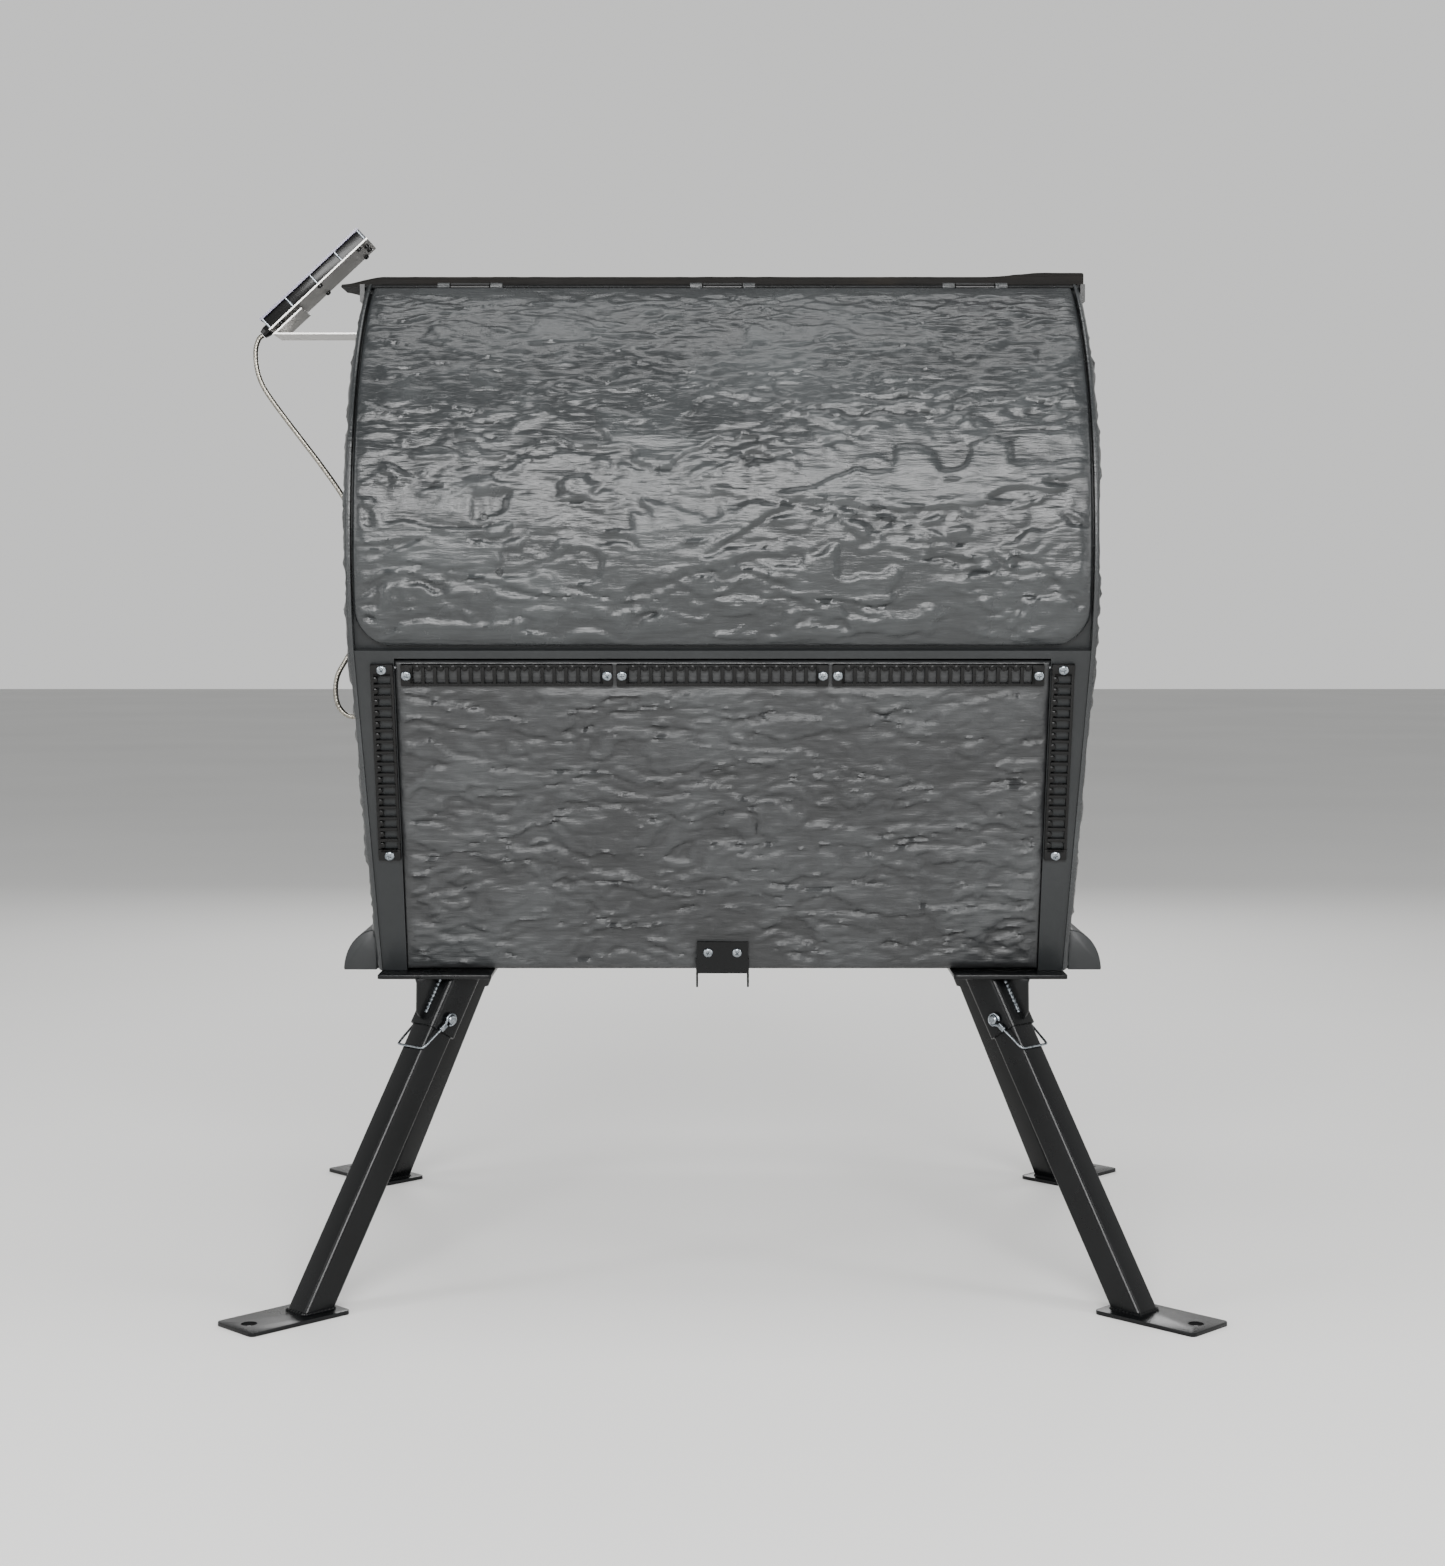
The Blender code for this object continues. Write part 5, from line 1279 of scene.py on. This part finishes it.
nearSide = leg["tube"] / 2 + bail["side"]
farSide = -leg["socketOut"] - bail["wire"] - 0.0003
bailReach = (leg["tube"] / 2 + bail["wire"] + bail["stand"]) / math.cos(bail["tilt"])


def bailMesh():
    # one wire: an eye round the pin's head, down and over the leg, hooked on the pin's tip
    eye = []
    loop = pin["headRadius"] + bail["wire"]
    for i in range(15):
        turn = math.radians(30 + 300 * i / 14)
        eye.append((loop * math.cos(turn), loop * math.sin(turn),
                    eyeHeight - 0.0012 + 0.0024 * i / 14))
    route = eye + [(loop + 0.006, -0.0006, eyeHeight - 0.0008),
                   (bailReach * 0.6, 0, eyeHeight - 0.0016),
                   (bailReach - 0.004, 0, nearSide + 0.003), (bailReach, 0, nearSide - 0.002),
                   (bailReach, 0, 0.0), (bailReach, 0, farSide + 0.003),
                   (bailReach - 0.003, 0, farSide - 0.001),
                   (bailReach * 0.7, 0, farSide - 0.003),
                   (pin["radius"] + bail["eye"] + 0.002, 0, farSide - 0.006),
                   (pin["radius"] + 0.0012, 0, farSide - 0.0065)]
    points, _ = smoothRoute(route, 0.0011)
    wire = tubeAlong(points, bail["wire"], 12)
    # flat pressed sleeve that closes the eye
    sleeve = roundedBlock((loop + 0.0015, -0.0034, eyeHeight - 0.0030),
                          (loop + 0.0125, 0.0034, eyeHeight + 0.0012),
                          0.0012, 3)
    return gathered([(wire, Matrix()), (sleeve, Matrix())])


bailWire = bailMesh()
for name, sx, sy, turn, side in corners:
    title = name.title().replace("_", "")
    spot = Matrix.Translation((sx * leg["footX"], sy * leg["footY"],
                               0)) @ Matrix.Rotation(math.radians(turn), 4, "Z")
    mesh = legMesh.copy()
    mesh.transform(spot)
    addPiece("leg" + title, mesh, "black_powder_coat", replaces=["leg_" + name])
    middle = (sx * leg["plateX"], sy * leg["plateY"], leg["plateLow"])
    plateMesh = bevelled(prism(roundedOutline(leg["plate"], leg["plate"], 0.004), 0,
                               leg["plateThick"]), 0.0006,
                         2, 60)
    socket = gathered([(socketSleeve, spot), (gussetMesh, spot),
                       (plateMesh, Matrix.Translation(middle))])
    addPiece("socket" + title, socket, "black_powder_coat", replaces=["socket_" + name])
    addPiece("weld" + title, gathered([(bead, spot) for bead, _ in gussetBeads]), "zinc_steel")
    flip = crossTurn if side < 0 else Matrix.Rotation(-math.pi / 2, 4, "X")
    pinPlace = spot @ tilt @ Matrix.Translation((0, 0, pinUp)) @ flip
    mesh = pinMesh.copy()
    mesh.transform(pinPlace)
    addPiece("lockPin" + title, mesh, "zinc_steel", replaces=["lock_pin_" + name])
    mesh = bailWire.copy()
    mesh.transform(pinPlace @ Matrix.Rotation(side * bail["tilt"], 4, "Z"))
    addPiece("pinBail" + title, mesh, "zinc_steel", replaces=["pin_bail_" + name])
print("legs made")

# solar module
module = {"size": (0.171, 0.082, 0.020), "tilt": math.radians(43.2),
          "centre": (-0.5227, -0.109, 1.263)}
slope = Matrix.Translation(module["centre"]) @ Matrix.Rotation(-module["tilt"], 4, "Y")
long, deep, thick = module["size"]
postShape = turnedMesh([(0, 0.0075), (0.0012, 0.0075), (0.0016, 0.0070), (0.0016, -0.0070),
                        (0.0012, -0.0075),
                        (0, -0.0075)], 16)
posts = []
for side in (-1, 1):
    posts += [(slope @ Vector((long * (i - 1) * 0.25, side * (deep / 2 - 0.0024), 0)),
               slope.to_3x3().col[2])
              for i in range(3)]
    posts += [(slope @ Vector((side * (long / 2 - 0.0024), deep * (i - 1) * 0.32, 0)),
               slope.to_3x3().col[2])
              for i in range(3)]
posts += [(slope @ Vector((sx * (long / 2 - 0.0028), sy * (deep / 2 - 0.0028), 0)),
           slope.to_3x3().col[2])
          for sx in (-1, 1) for sy in (-1, 1)]
addPiece("modulePosts", fasteners(postShape, posts, "zinc_steel"), "zinc_steel")
knobShape = turnedMesh([(0, 0.0035), (0.0022, 0.0035), (0.0034, 0.0026), (0.0036, 0.0), (0, 0.0)],
                       18)
knobDirection = -slope.to_3x3().col[2]
knobs = [(slope @ Vector((long * (i - 1) * 0.40, side * (deep / 2 - 0.0075), -thick / 2)),
          knobDirection)
         for side in (-1, 1) for i in range(3)]
knobs += [(slope @ Vector((side * (long / 2 - 0.0075), deep * (i - 0.5) * 0.34, -thick / 2)),
           knobDirection)
          for side in (-1, 1) for i in range(2)]
addPiece("moduleKnobs", fasteners(knobShape, knobs, "black_plastic"), "black_plastic")
rimLow, rimHigh = -thick / 2 + 0.0022, thick / 2 - 0.0032
rims = []
for side in (-1, 1):
    rims.append((roundedBlock((-long / 2 + 0.0045, side * (deep / 2 - 0.0043) - 0.0006, rimLow),
                              (long / 2 - 0.0045, side * (deep / 2 - 0.0043) + 0.0006, rimHigh),
                              0.0003), slope))
addPiece("moduleRims", gathered(rims), "black_plastic")
print("module made")

# carried-over nodes
nodeFinish = {item["node"]: item["material_slot"] for item in frame["record"]["subparts"]}
for item in bpy.data.objects:
    if item.name in nodeFinish and item.type == "MESH":
        for place in item.material_slots:
            place.material = finishes[nodeFinish[item.name]]

# light and floor
light = {"key": (290, 3.2, 1.3, (0.0, -4.4, 2.2), (0, -0.2, 0.85)),
         "left": (40, 0.7, 2.4, (-3.4, -1.9, 1.5), (0, 0, 0.8)),
         "right": (40, 0.7, 2.4, (3.4, -1.9, 1.5), (0, 0, 0.8)),
         "back": (60, 2.4, 1.2, (0, 3.8, 2.2), (0, 0, 0.8)),
         "top": (70, 3.0, 1.2, (0, -0.2, 4.4), (0, -0.1, 0.8))}
for name, (power, wide, tall, place, aim) in light.items():
    data = bpy.data.lights.new(name, "AREA")
    data.shape, data.size, data.size_y, data.energy = "RECTANGLE", wide, tall, power
    lamp = bpy.data.objects.new(name, data)
    lamp.location = place
    lamp.visible_camera = False
    lamp.rotation_euler = (Vector(aim) - Vector(place)).to_track_quat("-Z", "Y").to_euler()
    bpy.context.scene.collection.objects.link(lamp)
world = bpy.data.worlds.new("studio")
world.use_nodes = True
sky = world.node_tree
skyPlace = addNode(sky, "ShaderNodeTexCoord").outputs["Generated"]
skyAxes = addNode(sky, "ShaderNodeSeparateXYZ", [skyPlace])
# pale walls under a darker ceiling
skyRamp = addNode(sky, "ShaderNodeValToRGB", [skyAxes.outputs["Z"]],
                  [(0.42, "#f6f6f5"), (0.74, "#77797a")])
sky.links.new(skyRamp.outputs["Color"], sky.nodes["Background"].inputs["Color"])
sky.nodes["Background"].inputs["Strength"].default_value = 0.9
bpy.context.scene.world = world

floorMesh = bpy.data.meshes.new("floor")
floorMesh.from_pydata([(-30, -30, 0), (30, -30, 0), (30, 30, 0), (-30, 30, 0)], [], [(0, 1, 2, 3)])
floor = bpy.data.objects.new("floor", floorMesh)
bpy.context.scene.collection.objects.link(floor)
# painted studio floor: matt off-white with barely visible mottling
floorPaint, floorTree, floorShader = newMaterial("paintedFloor", "#f3f2f0", Roughness=0.8)
floorPlace = addNode(floorTree, "ShaderNodeTexCoord").outputs["Object"]
floorNoise = addNode(floorTree, "ShaderNodeTexNoise",
                     {"Vector": floorPlace, "Scale": 0.6, "Detail": 2.0})
floorRamp = addNode(floorTree, "ShaderNodeValToRGB", [floorNoise],
                    [(0.3, "#efeeec"), (0.7, "#f5f4f2")])
floorTree.links.new(floorRamp.outputs["Color"], floorShader.inputs["Base Color"])
floorMesh.materials.append(floorPaint)
print("light and floor made")
